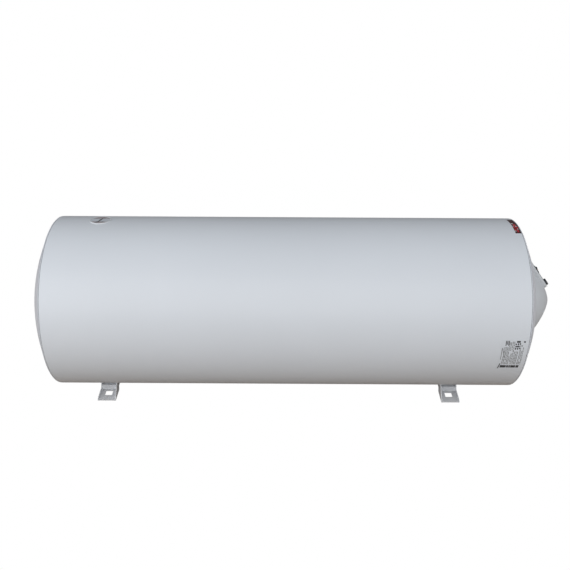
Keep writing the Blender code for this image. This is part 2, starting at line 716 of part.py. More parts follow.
def make_cover():
    axis = to_right(0, 0, COVER_LIFT)
    cover = new_object("electrical_cover", cover_dome(0, END), WHITE_PLASTIC, axis)
    boolean(cover, cutter("console_outside", console(0), panel_place(0)), "UNION")
    pad = rod(GLAND_PAD / 2, GLAND_SEAT * 0.5, GLAND_SEAT)
    gland_axis = outwards(GLAND_AT, math.pi / 2)
    boolean(cover, cutter("gland_pad", pad, gland_axis), "UNION")
    inside = cutter("cover_inside", cover_dome(COVER_WALL, END - COVER_OVERRUN), axis)
    boolean(inside, cutter("console_inside", console(COVER_WALL), panel_place(0)), "UNION")
    boolean(cover, inside)
    on_cap = dome(-GAP, RADIUS, CAP_OPENING / 2, DOME_STEPS)
    seat = turned([(0, -0.05), (RADIUS, -0.05), *on_cap, (0, on_cap[-1][1])], ROUND)
    boolean(cover, cutter("cover_seat", seat, to_right(END)))
    top = stay_top() + GAP
    for i, y in cover_screw_places():
        post_axis = to_right(0, y, COVER_LIFT)
        post = rod(POST_RADIUS, top, middle_of_wall(abs(y) + POST_RADIUS), 12)
        boolean(cover, cutter(f"cover_post_{i}", post, post_axis), "UNION")
        recess = turned([
            (0, top - 0.01), (COVER_SCREW_DIAMETER / 2 + FIT, top - 0.01),
            (COVER_SCREW_DIAMETER / 2 + FIT, top + POST_SEAT), (0.0045, top + POST_SEAT),
            (0.0045, top + 0.05), (0, top + 0.05),
        ], 16)
        boolean(cover, cutter(f"cover_recess_{i}", recess, post_axis))
        make_cover_screw(i, post_axis, top + POST_SEAT + GAP)
    cut_panel(cover)
    gland = rod(GLAND_DIAMETER / 2 + FIT, GLAND_SEAT * 0.7, GLAND_SEAT * 1.2)
    boolean(cover, cutter("cover_gland_cut", gland, gland_axis))
    weld(cover)


def make_cover_screw(number, place, seat):
    radius = COVER_SCREW_DIAMETER / 2
    low = seat - 0.018
    profile = [(0, low), (radius, low), (radius, seat), (0.0038, seat), (0.0038, seat + 0.0018),
               (0.0024, seat + 0.0028), (0, seat + 0.0028)]
    screw = new_object(f"cover_screw_{number}", turned(profile, 16), STEEL, place)
    cross = box((0.0046, 0.0009, 0.003), (0, 0, seat + 0.0028))
    boolean(screw, cutter(f"screw_slot_{number}", cross, place))


def cut_panel(cover):
    length, width = SWITCH_BODY
    hole = box((length + 2 * FIT, width + 2 * FIT, 0.02))
    boolean(cover, cutter("panel_switch_cut", hole, panel_place(SWITCH_AT, SWITCH_SIDE)))
    hole = rod(LAMP_DIAMETER / 2 + FIT, -0.01, 0.01)
    boolean(cover, cutter("panel_lamp_cut", hole, panel_place(LAMP_AT, LAMP_SIDE)))
    hole = rod(SHAFT_DIAMETER / 2 + FIT, -0.01, 0.01, 16)
    boolean(cover, cutter("panel_shaft_cut", hole, panel_place(KNOB_AT, KNOB_SIDE)))


def make_gland():
    inner = GLAND_BORE / 2
    radius = GLAND_DIAMETER / 2
    low = GLAND_SEAT - 0.016
    seat = GLAND_SEAT + GAP
    rings = [
        (radius, low), (radius, seat), (radius + 0.003, seat), (radius + 0.003, seat + 0.008),
        (radius, seat + 0.008), (radius, low + GLAND_LENGTH - 0.008), (radius - 0.002, low + GLAND_LENGTH),
    ]
    profile = [*rings, (inner, low + GLAND_LENGTH), (inner, low)]
    new_object("cable_gland", turned(profile, 16), WHITE_PLASTIC, outwards(GLAND_AT, math.pi / 2))


def make_switch():
    length, width = SWITCH_BODY
    place = panel_place(SWITCH_AT, SWITCH_SIDE)
    rim = box((length + 2 * SWITCH_RIM, width + 2 * SWITCH_RIM, 0.0025), (0, 0, 0.00125 + GAP), 0.0006)
    frame = new_object("switch_frame", rim, DARK_PLASTIC, place)
    body = box((length, width, SWITCH_DEPTH + 0.0015), (0, 0, (0.0015 - SWITCH_DEPTH) / 2))
    boolean(frame, cutter("switch_body", body, place), "UNION")
    inside = (length - 2 * SWITCH_WALL, width - 2 * SWITCH_WALL)
    cavity = box((*inside, 0.02), (0, 0, -0.0005))
    boolean(frame, cutter("switch_cavity", cavity, place))
    half = inside[0] / 2 - 0.0012
    profile = [(-half, 0.0042), (0, 0.0026), (half, 0.0042), (half * 0.8, -0.004), (-half * 0.8, -0.004)]
    rocker = slab(profile, FIT - inside[1] / 2, inside[1] / 2 - FIT)
    rest = Matrix.Rotation(-ROCKER_TILT, 4, "Y")
    new_object("rocker_switch", rocker, WHITE_PLASTIC, place @ rest)


def make_lamp():
    radius = LAMP_DIAMETER / 2
    profile = [(0, -0.010), (radius, -0.010), (radius, GAP), (radius + 0.0015, GAP),
               (radius + 0.0015, GAP + 0.0008), *oval(radius, 0.0025, GAP + 0.0008, 4)]
    new_object("pilot_lamp", turned(profile, 12), AMBER, panel_place(LAMP_AT, LAMP_SIDE))


def make_thermostat():
    """The knob on the panel, and behind it the regulator that its shaft turns."""
    place = panel_place(KNOB_AT, KNOB_SIDE)
    radius = KNOB_DIAMETER / 2
    socket = SHAFT_DIAMETER / 2 + GAP
    seat = 2 * GAP
    depth = KNOB_HEIGHT - 0.002
    profile = [
        (0, seat + depth), (socket, seat + depth), (socket, seat), (radius - 0.001, seat),
        (radius, seat + 0.001), (radius, seat + 0.003), (radius - 0.001, seat + KNOB_HEIGHT - 0.0015),
        (radius - 0.0025, seat + KNOB_HEIGHT), (0, seat + KNOB_HEIGHT),
    ]
    new_object("thermostat_knob", turned(profile, 24), DARK_PLASTIC, place)
    shaft = rod(SHAFT_DIAMETER / 2, GAP - REGULATOR_SETBACK, seat + depth - GAP, 16)
    new_object("knob_shaft", shaft, BRASS, place)
    size = REGULATOR_SIZE
    body = box((size, size, REGULATOR_DEPTH), (0, 0, -REGULATOR_SETBACK - REGULATOR_DEPTH / 2), 0.002)
    new_object("thermostat_regulator", body, DARK_PLASTIC, place)


def under_regulator(side, distance):
    """A point this far behind the regulator, to one side of its middle."""
    depth = REGULATOR_SETBACK + REGULATOR_DEPTH + distance
    return panel_place(KNOB_AT, KNOB_SIDE + side, -depth).translation


def make_capillary():
    """Sensing bulb in the pocket, and the thin tube from it to the regulator."""
    x = PLATE_FRONT
    z = POCKET_HEIGHT
    route = [
        (x + 0.002, 0, z), (x + 0.020, 0, z), (x + 0.032, -0.004, z + 0.002),
        under_regulator(-0.008, 0.0013),
    ]
    tube_along("thermostat_capillary", route, 0.002, COPPER)
    bulb = rod(0.0032, PLATE_BACK - 0.120, x + 0.0017, 12)
    new_object("sensing_bulb", bulb, COPPER, to_right(0, 0, z))


def make_wires():
    """Internal wires, each from one terminal to another."""
    apex = END + COVER_APEX
    top = PLATE_FRONT + GAP + TERMINAL_HEIGHT + 2 * GAP
    switch = panel_place(SWITCH_AT, SWITCH_SIDE, -SWITCH_DEPTH - 0.0015).translation
    line = [
        (top, -0.040, 0.044), (top + 0.012, -0.040, 0.047), (apex - 0.0757, -0.030, 0.066),
        (apex - 0.0597, -0.014, 0.086), switch,
    ]
    tube_along("line_wire", line, 0.0026, BROWN_WIRE)
    tip = Vector((PLATE_FRONT + TERMINAL_STICKOUT + 0.0004, ELEMENT_SPREAD / 2, ELEMENT_HEIGHTS[0]))
    heat = [
        tip, tip + Vector((0.014, 0.001, 0.002)), (apex - 0.0777, 0.015, 0.034),
        under_regulator(0.008, 0.0022),
    ]
    tube_along("element_wire", heat, 0.0026, BLUE_WIRE)


# ---------------------------------------------------------------- dial thermometer

def make_thermometer():
    place = outwards(DIAL_AT, DIAL_ANGLE)
    radius = DIAL_DIAMETER / 2
    rim = RADIUS + GAP
    top = rim + 0.0010
    bottom = RADIUS - HOUSING_DEPTH
    floor = bottom + HOUSING_WALL
    housing = turned([
        (0, bottom), (radius, bottom), (radius, rim), (radius + DIAL_RIM, rim),
        (radius + DIAL_RIM - 0.0005, top), (radius - HOUSING_WALL, top),
        (radius - HOUSING_WALL, floor), (0, floor),
    ], 32)
    new_object("thermometer_housing", housing, WHITE_PLASTIC, place)
    inner = radius - HOUSING_WALL - GAP
    dial = rod(inner, floor + GAP, RADIUS - DIAL_SUNK, 32)
    new_object("thermometer_dial", dial, DIAL_FACE, place)
    needle_base = RADIUS - DIAL_SUNK + GAP
    turn = Matrix.Rotation(NEEDLE_ANGLE, 4, "Z")
    hub = rod(0.0032, needle_base, needle_base + 0.0014, 16)
    needle = new_object("thermometer_needle", hub, BLACK_PAINT, place @ turn)
    reach = radius - NEEDLE_ROOM
    pointer = box(
        (reach + NEEDLE_TAIL, 0.0026, 0.001), ((reach - NEEDLE_TAIL) / 2, 0, needle_base + 0.0007)
    )
    boolean(needle, cutter("needle_pointer", pointer, place @ turn), "UNION")
    lens = rod(inner, RADIUS - LENS_BOTTOM, RADIUS + LENS_TOP, 32)
    new_object("thermometer_lens", lens, CLEAR, place)
    probe = rod(PROBE_RADIUS, TANK_RADIUS + GAP, bottom - GAP, 12)
    new_object("thermometer_probe", probe, COPPER, place)


# ---------------------------------------------------------------- wall brackets

def bracket_sheet_outline(thickness):
    """The bracket's bent sheet seen along the tank: (y, z) from the mounting surface up."""
    half = BRACKET_LENGTH / 2
    outer = BRACKET_STEP_AT + BRACKET_STEP_RUN
    low = [(-half, 0), (-outer, 0), (-BRACKET_STEP_AT, BRACKET_STEP), (BRACKET_STEP_AT, BRACKET_STEP),
           (outer, 0), (half, 0)]
    lean = thickness * math.tan(math.atan2(BRACKET_STEP, BRACKET_STEP_RUN) / 2)
    plateau = (BRACKET_STEP_AT + lean, BRACKET_STEP + thickness)
    high = [(half, thickness), (outer + lean, thickness), plateau]
    return low + high + [(-y, z) for y, z in high[::-1]]


def lip_outline(height, slope):
    """A turned-up side of the bracket, rounded at its ends and never closer than a gap to the casing."""
    half = BRACKET_LENGTH / 2
    outer = BRACKET_STEP_AT + BRACKET_STEP_RUN
    lift = 0.0004
    low = [(-half + 0.0005, lift), (-outer, lift), (-BRACKET_STEP_AT, BRACKET_STEP + lift),
           (BRACKET_STEP_AT, BRACKET_STEP + lift), (outer, lift), (half - 0.0005, lift)]
    steps = 24
    end = half - 0.0005
    places = {end * (1 - 2 * i / steps) for i in range(steps + 1)}
    places |= {-outer, -BRACKET_STEP_AT, BRACKET_STEP_AT, outer}
    high = []
    for y in sorted(places, reverse=True):
        under = AXIS_HEIGHT - math.sqrt((RADIUS + 0.0008) ** 2 - y**2)
        from_end = half - abs(y)
        corner = math.sqrt(1 - max(0.0, 1 - from_end / LIP_CORNER) ** 2)
        floor = min(BRACKET_STEP, max(0.0, (outer - abs(y)) / BRACKET_STEP_RUN * BRACKET_STEP))
        top = floor + height * corner + slope * max(0.0, from_end - LIP_CORNER)
        high.append((y, min(under, max(BRACKET_SHEET + 0.0006, top))))
    return low + high


def bar_across(outline, low, high):
    """An outline given as (y, z), drawn out along X."""
    bm = slab([(y, z) for y, z in outline], low, high)
    bmesh.ops.rotate(bm, verts=bm.verts, cent=(0, 0, 0), matrix=Matrix.Rotation(math.pi / 2, 3, "Z"))
    return bm


def make_brackets():
    for side, x in zip(BRACKET_NAMES, BRACKET_AT):
        place = Matrix.Translation((x, 0, -AXIS_HEIGHT))
        half = BRACKET_WIDTH / 2
        sheet = bar_across(bracket_sheet_outline(BRACKET_SHEET), -half + 0.001, half - 0.001)
        bracket = new_object(f"{side}_wall_bracket", sheet, GREY_STEEL, place)
        for i, sign in enumerate((-1, 1)):
            edges = sorted((sign * half, sign * (half - BRACKET_SHEET)))
            inner = sign * x < 0
            shape = lip_outline(BRACKET_LIP, LIP_SLOPE) if inner else lip_outline(BRACKET_OUTER_LIP, 0)
            lip = cutter(f"{side}_lip_{i}", bar_across(shape, *edges), place)
            boolean(bracket, lip, "UNION")
            hole = box((BRACKET_HOLE, BRACKET_HOLE, 0.02), (0, sign * BRACKET_HOLE_SPACING / 2, 0))
            boolean(bracket, cutter(f"{side}_hole_{i}", hole, place))
            bore = rod(BRACKET_BOLT_DIAMETER / 2 + FIT, 0, 0.03, 16)
            at = place @ Matrix.Translation((0, sign * BRACKET_BOLT_SPACING / 2, 0))
            boolean(bracket, cutter(f"{side}_bolt_cut_{i}", bore, at))


def make_bracket_bolts():
    """Each bolt's head sits under the raised middle and its shank screws into a boss on the tank."""
    across = BRACKET_BOLT_DIAMETER + 2 * BRACKET_BOLT_SHOULDER
    seat = BRACKET_STEP - GAP
    turn = Matrix.Rotation(math.pi, 4, "X")
    for name, x, y in bolt_places():
        reach = AXIS_HEIGHT - TANK_RADIUS - 0.004 - seat
        bolt = hex_bolt(BRACKET_BOLT_DIAMETER, reach, BRACKET_BOLT_HEAD, across)
        place = Matrix.Translation((x, y, seat - AXIS_HEIGHT)) @ turn
        new_object(name, bolt, STEEL, place)


# ---------------------------------------------------------------- marks

def film(name, inset, angles, surface):
    """A thin patch that follows the casing, this far from its right end."""
    near, far = (END - distance for distance in inset)
    steps = max(4, round((angles[1] - angles[0]) / math.radians(2.6)))
    inner = RADIUS + GAP
    rings = []
    for i in range(steps + 1):
        angle = angles[0] + (angles[1] - angles[0]) * i / steps
        out = Vector((0, math.sin(angle), math.cos(angle)))
        ring = []
        for x, lift in ((near, 0), (far, 0), (far, FILM), (near, FILM)):
            reach = inner + lift
            ring.append((x, out.y * reach, out.z * reach))
        rings.append(ring)
    new_object(name, stacked(rings), surface, Matrix())


# ---------------------------------------------------------------- the whole

clear_scene()

tank_axis = bpy.data.objects.new("tank_axis", None)
bpy.context.scene.collection.objects.link(tank_axis)
near_side = RADIUS + GAP + FILM
tank_axis.location = ((CAP_RISE - COVER_APEX) / 2, (near_side - PIPE_END) / 2, AXIS_HEIGHT)

WHITE_STEEL = finish("white_steel", (0.78, 0.80, 0.81), 0.28)
WHITE_PLASTIC = finish("white_plastic", (0.72, 0.74, 0.75), 0.38)
DARK_PLASTIC = finish("dark_plastic", (0.05, 0.06, 0.07), 0.45)
GREY_STEEL = finish("grey_steel", (0.50, 0.51, 0.53), 0.40)
STEEL = finish("zinc_steel", (0.62, 0.62, 0.60), 0.35, 0.9)
ENAMEL = finish("enamelled_steel", (0.10, 0.13, 0.22), 0.35)
FOAM = finish("foam", (0.80, 0.70, 0.42), 0.95)
RUBBER = finish("rubber", (0.03, 0.03, 0.03), 0.8)
COPPER = finish("copper", (0.72, 0.36, 0.22), 0.3, 1.0)
BRASS = finish("brass", (0.75, 0.58, 0.26), 0.3, 1.0)
MAGNESIUM = finish("magnesium", (0.55, 0.55, 0.54), 0.55, 0.8)
BLUE_PLASTIC = finish("blue_plastic", (0.03, 0.12, 0.55), 0.4)
RED_PLASTIC = finish("red_plastic", (0.60, 0.03, 0.03), 0.4)
AMBER = finish("amber_lens", (0.80, 0.20, 0.05), 0.15)
DIAL_FACE = finish("dial_face", (0.66, 0.58, 0.60), 0.5)
BLACK_PAINT = finish("black_paint", (0.02, 0.02, 0.02), 0.5)
CLEAR = finish("clear_plastic", (0.90, 0.92, 0.93), 0.05, 0.0, 0.3)
BROWN_WIRE = finish("brown_wire", (0.20, 0.07, 0.03), 0.5)
BLUE_WIRE = finish("blue_wire", (0.05, 0.12, 0.50), 0.5)
PRINTED = finish("printed_film", (0.75, 0.76, 0.77), 0.35)
RED_FILM = finish("red_film", (0.62, 0.06, 0.04), 0.35)

make_casing()
make_end_cap("left_end_cap", to_left(-END))
make_end_cap("right_end_cap", to_right(END), CAP_OPENING / 2)
make_foam()
make_tank()
make_water_pipes()
make_flange()
make_elements()
make_pocket()
make_anode()
make_cutout()
make_terminals()
make_stay()
make_cover()
make_gland()
make_switch()
make_lamp()
make_thermostat()
make_capillary()
make_wires()
make_thermometer()
make_brackets()
make_bracket_bolts()
film("rating_label", LABEL_INSET, LABEL_ANGLES, PRINTED)
film("brand_badge", BADGE_INSET, BADGE_ANGLES, RED_FILM)
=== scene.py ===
"""Looks of a horizontal electric storage water heater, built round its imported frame.

+X runs along the tank to the electrical end and +Z points away from the mounting surface.
"""

import json
import math
import random

import bmesh
import bpy
from mathutils import Matrix, Vector


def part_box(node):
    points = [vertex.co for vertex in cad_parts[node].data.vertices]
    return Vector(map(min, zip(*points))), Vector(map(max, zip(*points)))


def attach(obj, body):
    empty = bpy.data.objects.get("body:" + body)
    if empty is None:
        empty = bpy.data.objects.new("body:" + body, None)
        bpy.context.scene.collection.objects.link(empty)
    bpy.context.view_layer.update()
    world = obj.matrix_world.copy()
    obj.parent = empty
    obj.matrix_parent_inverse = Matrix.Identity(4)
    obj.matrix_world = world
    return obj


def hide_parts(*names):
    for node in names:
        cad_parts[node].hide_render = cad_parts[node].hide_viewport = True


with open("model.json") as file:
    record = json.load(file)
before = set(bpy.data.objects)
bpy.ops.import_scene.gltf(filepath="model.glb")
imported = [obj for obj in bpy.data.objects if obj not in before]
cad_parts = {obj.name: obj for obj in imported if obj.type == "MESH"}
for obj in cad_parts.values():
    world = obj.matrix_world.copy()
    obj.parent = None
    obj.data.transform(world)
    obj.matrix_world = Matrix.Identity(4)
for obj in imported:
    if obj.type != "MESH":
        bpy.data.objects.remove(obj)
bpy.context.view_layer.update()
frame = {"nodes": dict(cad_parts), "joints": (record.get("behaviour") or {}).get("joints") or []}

# ---------------------------------------------------------------- places, all read from the frame

casing_low, casing_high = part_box("outer_casing")
AXIS = (casing_low + casing_high) / 2
RADIUS = (casing_high.z - casing_low.z) / 2
END = casing_high.x - AXIS.x + 0.0003
CAP_RISE = AXIS.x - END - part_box("left_end_cap")[0].x
COVER_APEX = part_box("electrical_cover")[1].x - AXIS.x - END
JOINTS = {joint["name"]: joint for joint in frame["joints"]}
KNOB = Vector(JOINTS["knob_turn"]["pos_m"])
PANEL_NORMAL = Vector(JOINTS["knob_turn"]["axis"]).normalized()
PANEL_UP = Vector((-PANEL_NORMAL.z, 0, PANEL_NORMAL.x))
ROCKER = Vector(JOINTS["rocker_tilt"]["pos_m"])
DIAL = Vector(JOINTS["needle_turn"]["pos_m"])
DIAL_NORMAL = Vector(JOINTS["needle_turn"]["axis"]).normalized()

# The cover, as the part's source has it
COVER_RADIUS = 0.137
COVER_DEPTH = 0.104
COVER_SHARPNESS = 1.5
COVER_LIFT = 0.008
CONSOLE_LENGTH = 0.118
CONSOLE_WIDTH = 0.054
CONSOLE_CORNERS = (0.022, 0.010)
CONSOLE_DEPTH = 0.078
KNOB_ALONG = 0.013
KNOB_ACROSS = -0.006
PANEL_START = KNOB - PANEL_UP * KNOB_ALONG - Vector((0, KNOB_ACROSS, 0))

NEEDLE_ANGLE = math.radians(-105)


# ---------------------------------------------------------------- materials

COAT_ROUGHNESS = 0.08
COLOUR_BAND = (0.35, 0.65)
ROUGHNESS_BAND = (0.85, 1.15)
SPOT_EDGE = (0.05, 0.22)
RELIEF = 0.0004


def finish(name, colour, roughness, metallic=0.0, shade=0.04, grain=6.0, bump=0.0, bump_grain=300.0,
           stretch=(1, 1, 1), coat=0.0, transmission=0.0, ior=1.45, glow=0.0, speckle=None):
    """A shader whose colour, roughness and surface vary a little, at the scale the real finish does."""
    made = bpy.data.materials.new(name)
    made.use_nodes = True
    nodes = made.node_tree.nodes
    links = made.node_tree.links
    shader = nodes["Principled BSDF"]
    shader.inputs["Metallic"].default_value = metallic
    shader.inputs["IOR"].default_value = ior
    shader.inputs["Coat Weight"].default_value = coat
    shader.inputs["Coat Roughness"].default_value = COAT_ROUGHNESS
    shader.inputs["Transmission Weight"].default_value = transmission
    if glow:
        shader.inputs["Emission Color"].default_value = (*colour, 1)
        shader.inputs["Emission Strength"].default_value = glow
    where = nodes.new("ShaderNodeTexCoord")
    scale = nodes.new("ShaderNodeMapping")
    scale.inputs["Scale"].default_value = stretch
    links.new(where.outputs["Object"], scale.inputs["Vector"])

    def clouds(grain_of, detail):
        made_noise = nodes.new("ShaderNodeTexNoise")
        made_noise.inputs["Scale"].default_value = grain_of
        made_noise.inputs["Detail"].default_value = detail
        links.new(scale.outputs["Vector"], made_noise.inputs["Vector"])
        return made_noise.outputs["Fac"]

    ramp = nodes.new("ShaderNodeValToRGB")
    ramp.color_ramp.elements[0].position = COLOUR_BAND[0]
    ramp.color_ramp.elements[1].position = COLOUR_BAND[1]
    ramp.color_ramp.elements[0].color = (*[c * (1 - shade) for c in colour], 1)
    ramp.color_ramp.elements[1].color = (*[min(1.0, c * (1 + shade)) for c in colour], 1)
    links.new(clouds(grain, 3), ramp.inputs["Fac"])
    colour_out = ramp.outputs["Color"]
    if speckle:
        spots = nodes.new("ShaderNodeTexVoronoi")
        spots.inputs["Scale"].default_value = speckle[0]
        links.new(scale.outputs["Vector"], spots.inputs["Vector"])
        near = nodes.new("ShaderNodeMapRange")
        near.inputs["From Min"].default_value = SPOT_EDGE[0]
        near.inputs["From Max"].default_value = SPOT_EDGE[1]
        near.inputs["To Min"].default_value = 1.0
        near.inputs["To Max"].default_value = 0.0
        links.new(spots.outputs["Distance"], near.inputs["Value"])
        blend = nodes.new("ShaderNodeMix")
        blend.data_type = "RGBA"
        blend.inputs["B"].default_value = (*speckle[1], 1)
        links.new(near.outputs["Result"], blend.inputs["Factor"])
        links.new(colour_out, blend.inputs["A"])
        colour_out = blend.outputs["Result"]
    links.new(colour_out, shader.inputs["Base Color"])
    spread = nodes.new("ShaderNodeMapRange")
    spread.inputs["To Min"].default_value = roughness * ROUGHNESS_BAND[0]
    spread.inputs["To Max"].default_value = min(1.0, roughness * ROUGHNESS_BAND[1])
    links.new(clouds(grain * 4, 4), spread.inputs["Value"])
    links.new(spread.outputs["Result"], shader.inputs["Roughness"])
    if bump:
        relief = nodes.new("ShaderNodeBump")
        relief.inputs["Strength"].default_value = bump
        relief.inputs["Distance"].default_value = RELIEF
        links.new(clouds(bump_grain, 2), relief.inputs["Height"])
        links.new(relief.outputs["Normal"], shader.inputs["Normal"])
    return made


CASING = finish("casing_enamel", (0.655, 0.69, 0.735), 0.46, shade=0.012, grain=2.5, bump=0.05,
                bump_grain=420, coat=0.12)
CAP = finish("cap_enamel", (0.67, 0.70, 0.76), 0.46, shade=0.012, grain=3, bump=0.05, bump_grain=420,
             coat=0.12)
COVER = finish("cover_plastic", (0.56, 0.59, 0.62), 0.42, shade=0.015, grain=8, bump=0.12, bump_grain=900)
PANEL = finish("panel_plastic", (0.50, 0.53, 0.56), 0.5, shade=0.02, grain=14, bump=0.18, bump_grain=1200)
TRIM = finish("white_trim", (0.62, 0.64, 0.66), 0.4, shade=0.02, grain=20, bump=0.1, bump_grain=900)
BRACKET = finish("bracket_paint", (0.64, 0.655, 0.68), 0.42, shade=0.06, grain=18, bump=0.15, bump_grain=500)
SEAM = finish("seam_shadow", (0.16, 0.17, 0.18), 0.7, shade=0.05, grain=30)
DARK = finish("dark_plastic_grain", (0.035, 0.04, 0.045), 0.45, shade=0.12, grain=40, bump=0.3,
              bump_grain=1400)
MARKS = finish("pale_marks", (0.75, 0.76, 0.77), 0.5, shade=0.03, grain=60)
ZINC = finish("zinc_plate", (0.60, 0.60, 0.58), 0.34, 1.0, shade=0.10, grain=30, bump=0.15, bump_grain=700,
              stretch=(1, 1, 3))
ENAMEL = finish("glass_enamel", (0.08, 0.11, 0.20), 0.18, shade=0.15, grain=20, bump=0.2, bump_grain=240,
                coat=0.6, speckle=(260, (0.30, 0.34, 0.42)))
FOAM = finish("foam_cells", (0.78, 0.66, 0.36), 0.95, shade=0.10, grain=25, bump=0.8, bump_grain=500,
              speckle=(420, (0.56, 0.45, 0.20)))
RUBBER = finish("gasket_rubber_grain", (0.03, 0.03, 0.03), 0.8, shade=0.2, grain=60, bump=0.3,
                bump_grain=900)
COPPER = finish("copper_sheath", (0.70, 0.34, 0.20), 0.30, 1.0, shade=0.18, grain=35, bump=0.1,
                bump_grain=800)
BRASS = finish("turned_brass", (0.72, 0.55, 0.24), 0.26, 1.0, shade=0.08, grain=60, bump=0.1,
               bump_grain=1200)
MAGNESIUM = finish("cast_magnesium", (0.50, 0.50, 0.49), 0.65, 0.7, shade=0.14, grain=50, bump=0.5,
                   bump_grain=350)
BLUE = finish("blue_moulding", (0.02, 0.10, 0.50), 0.38, shade=0.05, grain=40, bump=0.15, bump_grain=900)
RED = finish("red_moulding", (0.55, 0.02, 0.02), 0.38, shade=0.05, grain=40, bump=0.15, bump_grain=900)
AMBER = finish("amber_moulding", (0.85, 0.22, 0.04), 0.12, shade=0.05, grain=80, bump=0.1, bump_grain=600,
               transmission=0.35, glow=0.05)
DIAL_FACE = finish("dial_print", (0.40, 0.33, 0.34), 0.55, shade=0.03, grain=50)
BLACK = finish("black_paint_coat", (0.02, 0.02, 0.022), 0.5, shade=0.2, grain=60, bump=0.1, bump_grain=900)
GLASS = finish("clear_moulding", (0.95, 0.96, 0.97), 0.04, shade=0.01, grain=20, transmission=1.0,
               ior=1.12)
BROWN_WIRE = finish("brown_insulation", (0.17, 0.06, 0.03), 0.5, shade=0.1, grain=70)
BLUE_WIRE = finish("blue_insulation", (0.03, 0.09, 0.42), 0.5, shade=0.1, grain=70)
LABEL = finish("label_base", (0.655, 0.69, 0.735), 0.46, shade=0.012, grain=20, bump=0.05,
               bump_grain=420, coat=0.12)
INK = finish("label_ink", (0.045, 0.045, 0.05), 0.5, shade=0.25, grain=90)
FAINT_INK = finish("label_faint_ink", (0.24, 0.25, 0.26), 0.5, shade=0.12, grain=90)
# The badge's dark red ground, which is also painted shade: over the badge's upper part, where no red blocks
# lie, this dark colour stands in for the dark grazing reflection there.
BADGE_GROUND_AND_PAINTED_SHADE = finish("badge_dark_red_and_painted_shade", (0.045, 0.010, 0.010), 0.5, shade=0.3, grain=60)
BADGE_RED = finish("badge_red", (0.42, 0.012, 0.022), 0.42, shade=0.12, grain=60)


# ---------------------------------------------------------------- shapes

SHARP = 38


def piece(name, bm, body, material, replaces=(), sharp=SHARP, merge=True):
    """A finished piece: shaded smooth up to the given angle, riding on its body."""
    if merge:
        bmesh.ops.remove_doubles(bm, verts=bm.verts, dist=1e-6)
    bmesh.ops.recalc_face_normals(bm, faces=bm.faces)
    mesh = bpy.data.meshes.new(name)
    bm.to_mesh(mesh)
    bm.free()
    mesh.materials.append(material)
    mesh.shade_smooth()
    mesh.set_sharp_from_angle(angle=math.radians(sharp))
    made = bpy.data.objects.new(name, mesh)
    bpy.context.scene.collection.objects.link(made)
    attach(made, body)
    if replaces:
        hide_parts(*replaces)
    return made


def rounded(points, steps=5):
    """An open run of points; one given as (a, b, radius) is rounded by about that radius."""
    route = []
    for i, point in enumerate(points):
        here = Vector(point[:2])
        radius = point[2] if len(point) > 2 else 0.0
        if not radius or i in (0, len(points) - 1):
            route.append(tuple(here))
            continue
        before = (Vector(points[i - 1][:2]) - here)
        after = (Vector(points[i + 1][:2]) - here)
        half = before.angle(after) / 2
        reach = min(radius / math.tan(half), before.length * 0.49, after.length * 0.49)
        start = here + before.normalized() * reach
        stop = here + after.normalized() * reach
        for k in range(steps + 1):
            t = k / steps
            route.append(tuple(start * (1 - t) ** 2 + here * 2 * t * (1 - t) + stop * t**2))
    return route


def lathe(profile, place, sides=96, closed=False, wave=None, bm=None):
    """A surface turned about the place's Z from (radius, height) points; wave scales each radius by turn."""
    bm = bm or bmesh.new()
    rows = []
    for k in range(sides):
        turn = math.tau * k / sides
        row = []
        for radius, height in profile:
            reach = radius * (wave(turn, radius, height) if wave else 1.0)
            point = Vector((reach * math.cos(turn), reach * math.sin(turn), height))
            row.append(bm.verts.new(place @ point))
        rows.append(row)
    count = len(profile)
    for k in range(sides):
        a, b = rows[k], rows[(k + 1) % sides]
        for i in range(count if closed else count - 1):
            j = (i + 1) % count
            corners = (a[i], b[i], b[j], a[j])
            if profile[i][0] < 1e-7:
                corners = (a[i], b[j], a[j])
            elif profile[j][0] < 1e-7:
                corners = (a[i], b[i], a[j])
            bm.faces.new(corners)
    return bm


def fluted(count, depth, beyond=0.0):
    """A wave for lathe: flutes as deep as a share of the radius, on what lies beyond a radius."""
    def wave(turn, radius, height):
        return 1.0 - depth * (0.5 + 0.5 * math.cos(count * turn)) if radius > beyond else 1.0
    return wave


def stacked(rings, place, bm=None, caps=(True, True)):
    """A solid through rings of the same number of points."""
    bm = bm or bmesh.new()
    rows = [[bm.verts.new(place @ Vector(point)) for point in ring] for ring in rings]
    for low, high in zip(rows, rows[1:]):
        for i in range(len(low)):
            j = (i + 1) % len(low)
            bm.faces.new((low[i], low[j], high[j], high[i]))
    if caps[0]:
        bm.faces.new(rows[0])
    if caps[1]:
        bm.faces.new(rows[-1])
    return bm


def rounded_rectangle(length, width, radii, height, shift=(0, 0), steps=8):
    """A ring of points round a rectangle; radii are those of its high and of its low corners."""
    high, low = radii
    points = []
    for corner, (sx, sy, radius) in enumerate(((1, 1, high), (-1, 1, low), (-1, -1, low), (1, -1, high))):
        centre = (sx * (length / 2 - radius) + shift[0], sy * (width / 2 - radius) + shift[1])
        for i in range(steps + 1):
            turn = math.pi / 2 * (corner + i / steps)
            points.append((centre[0] + radius * math.cos(turn), centre[1] + radius * math.sin(turn), height))
    return points


def cushion_block(length, width, radii, low, high, edge, place, shift=(0, 0), bm=None, steps=8):
    """A rounded rectangle drawn up, with its upper edge turned over."""
    rings = [rounded_rectangle(length, width, radii, low, shift, steps)]
    for i in range(6):
        turn = math.pi / 2 * i / 5
        pull = edge * (1 - math.cos(turn))
        inner = tuple(max(0.0002, radius - pull) for radius in radii)
        rings.append(rounded_rectangle(
            length - 2 * pull, width - 2 * pull, inner, high - edge * (1 - math.sin(turn)), shift, steps
        ))
    return stacked(rings, place, bm)


def on_axis(x, side=1, lift=0.0):
    """A place on the tank's axis whose Z runs along the tank, to the right or to the left."""
    return (Matrix.Translation(AXIS + Vector((x, 0, lift)))
            @ Matrix.Rotation(side * math.pi / 2, 4, "Y"))


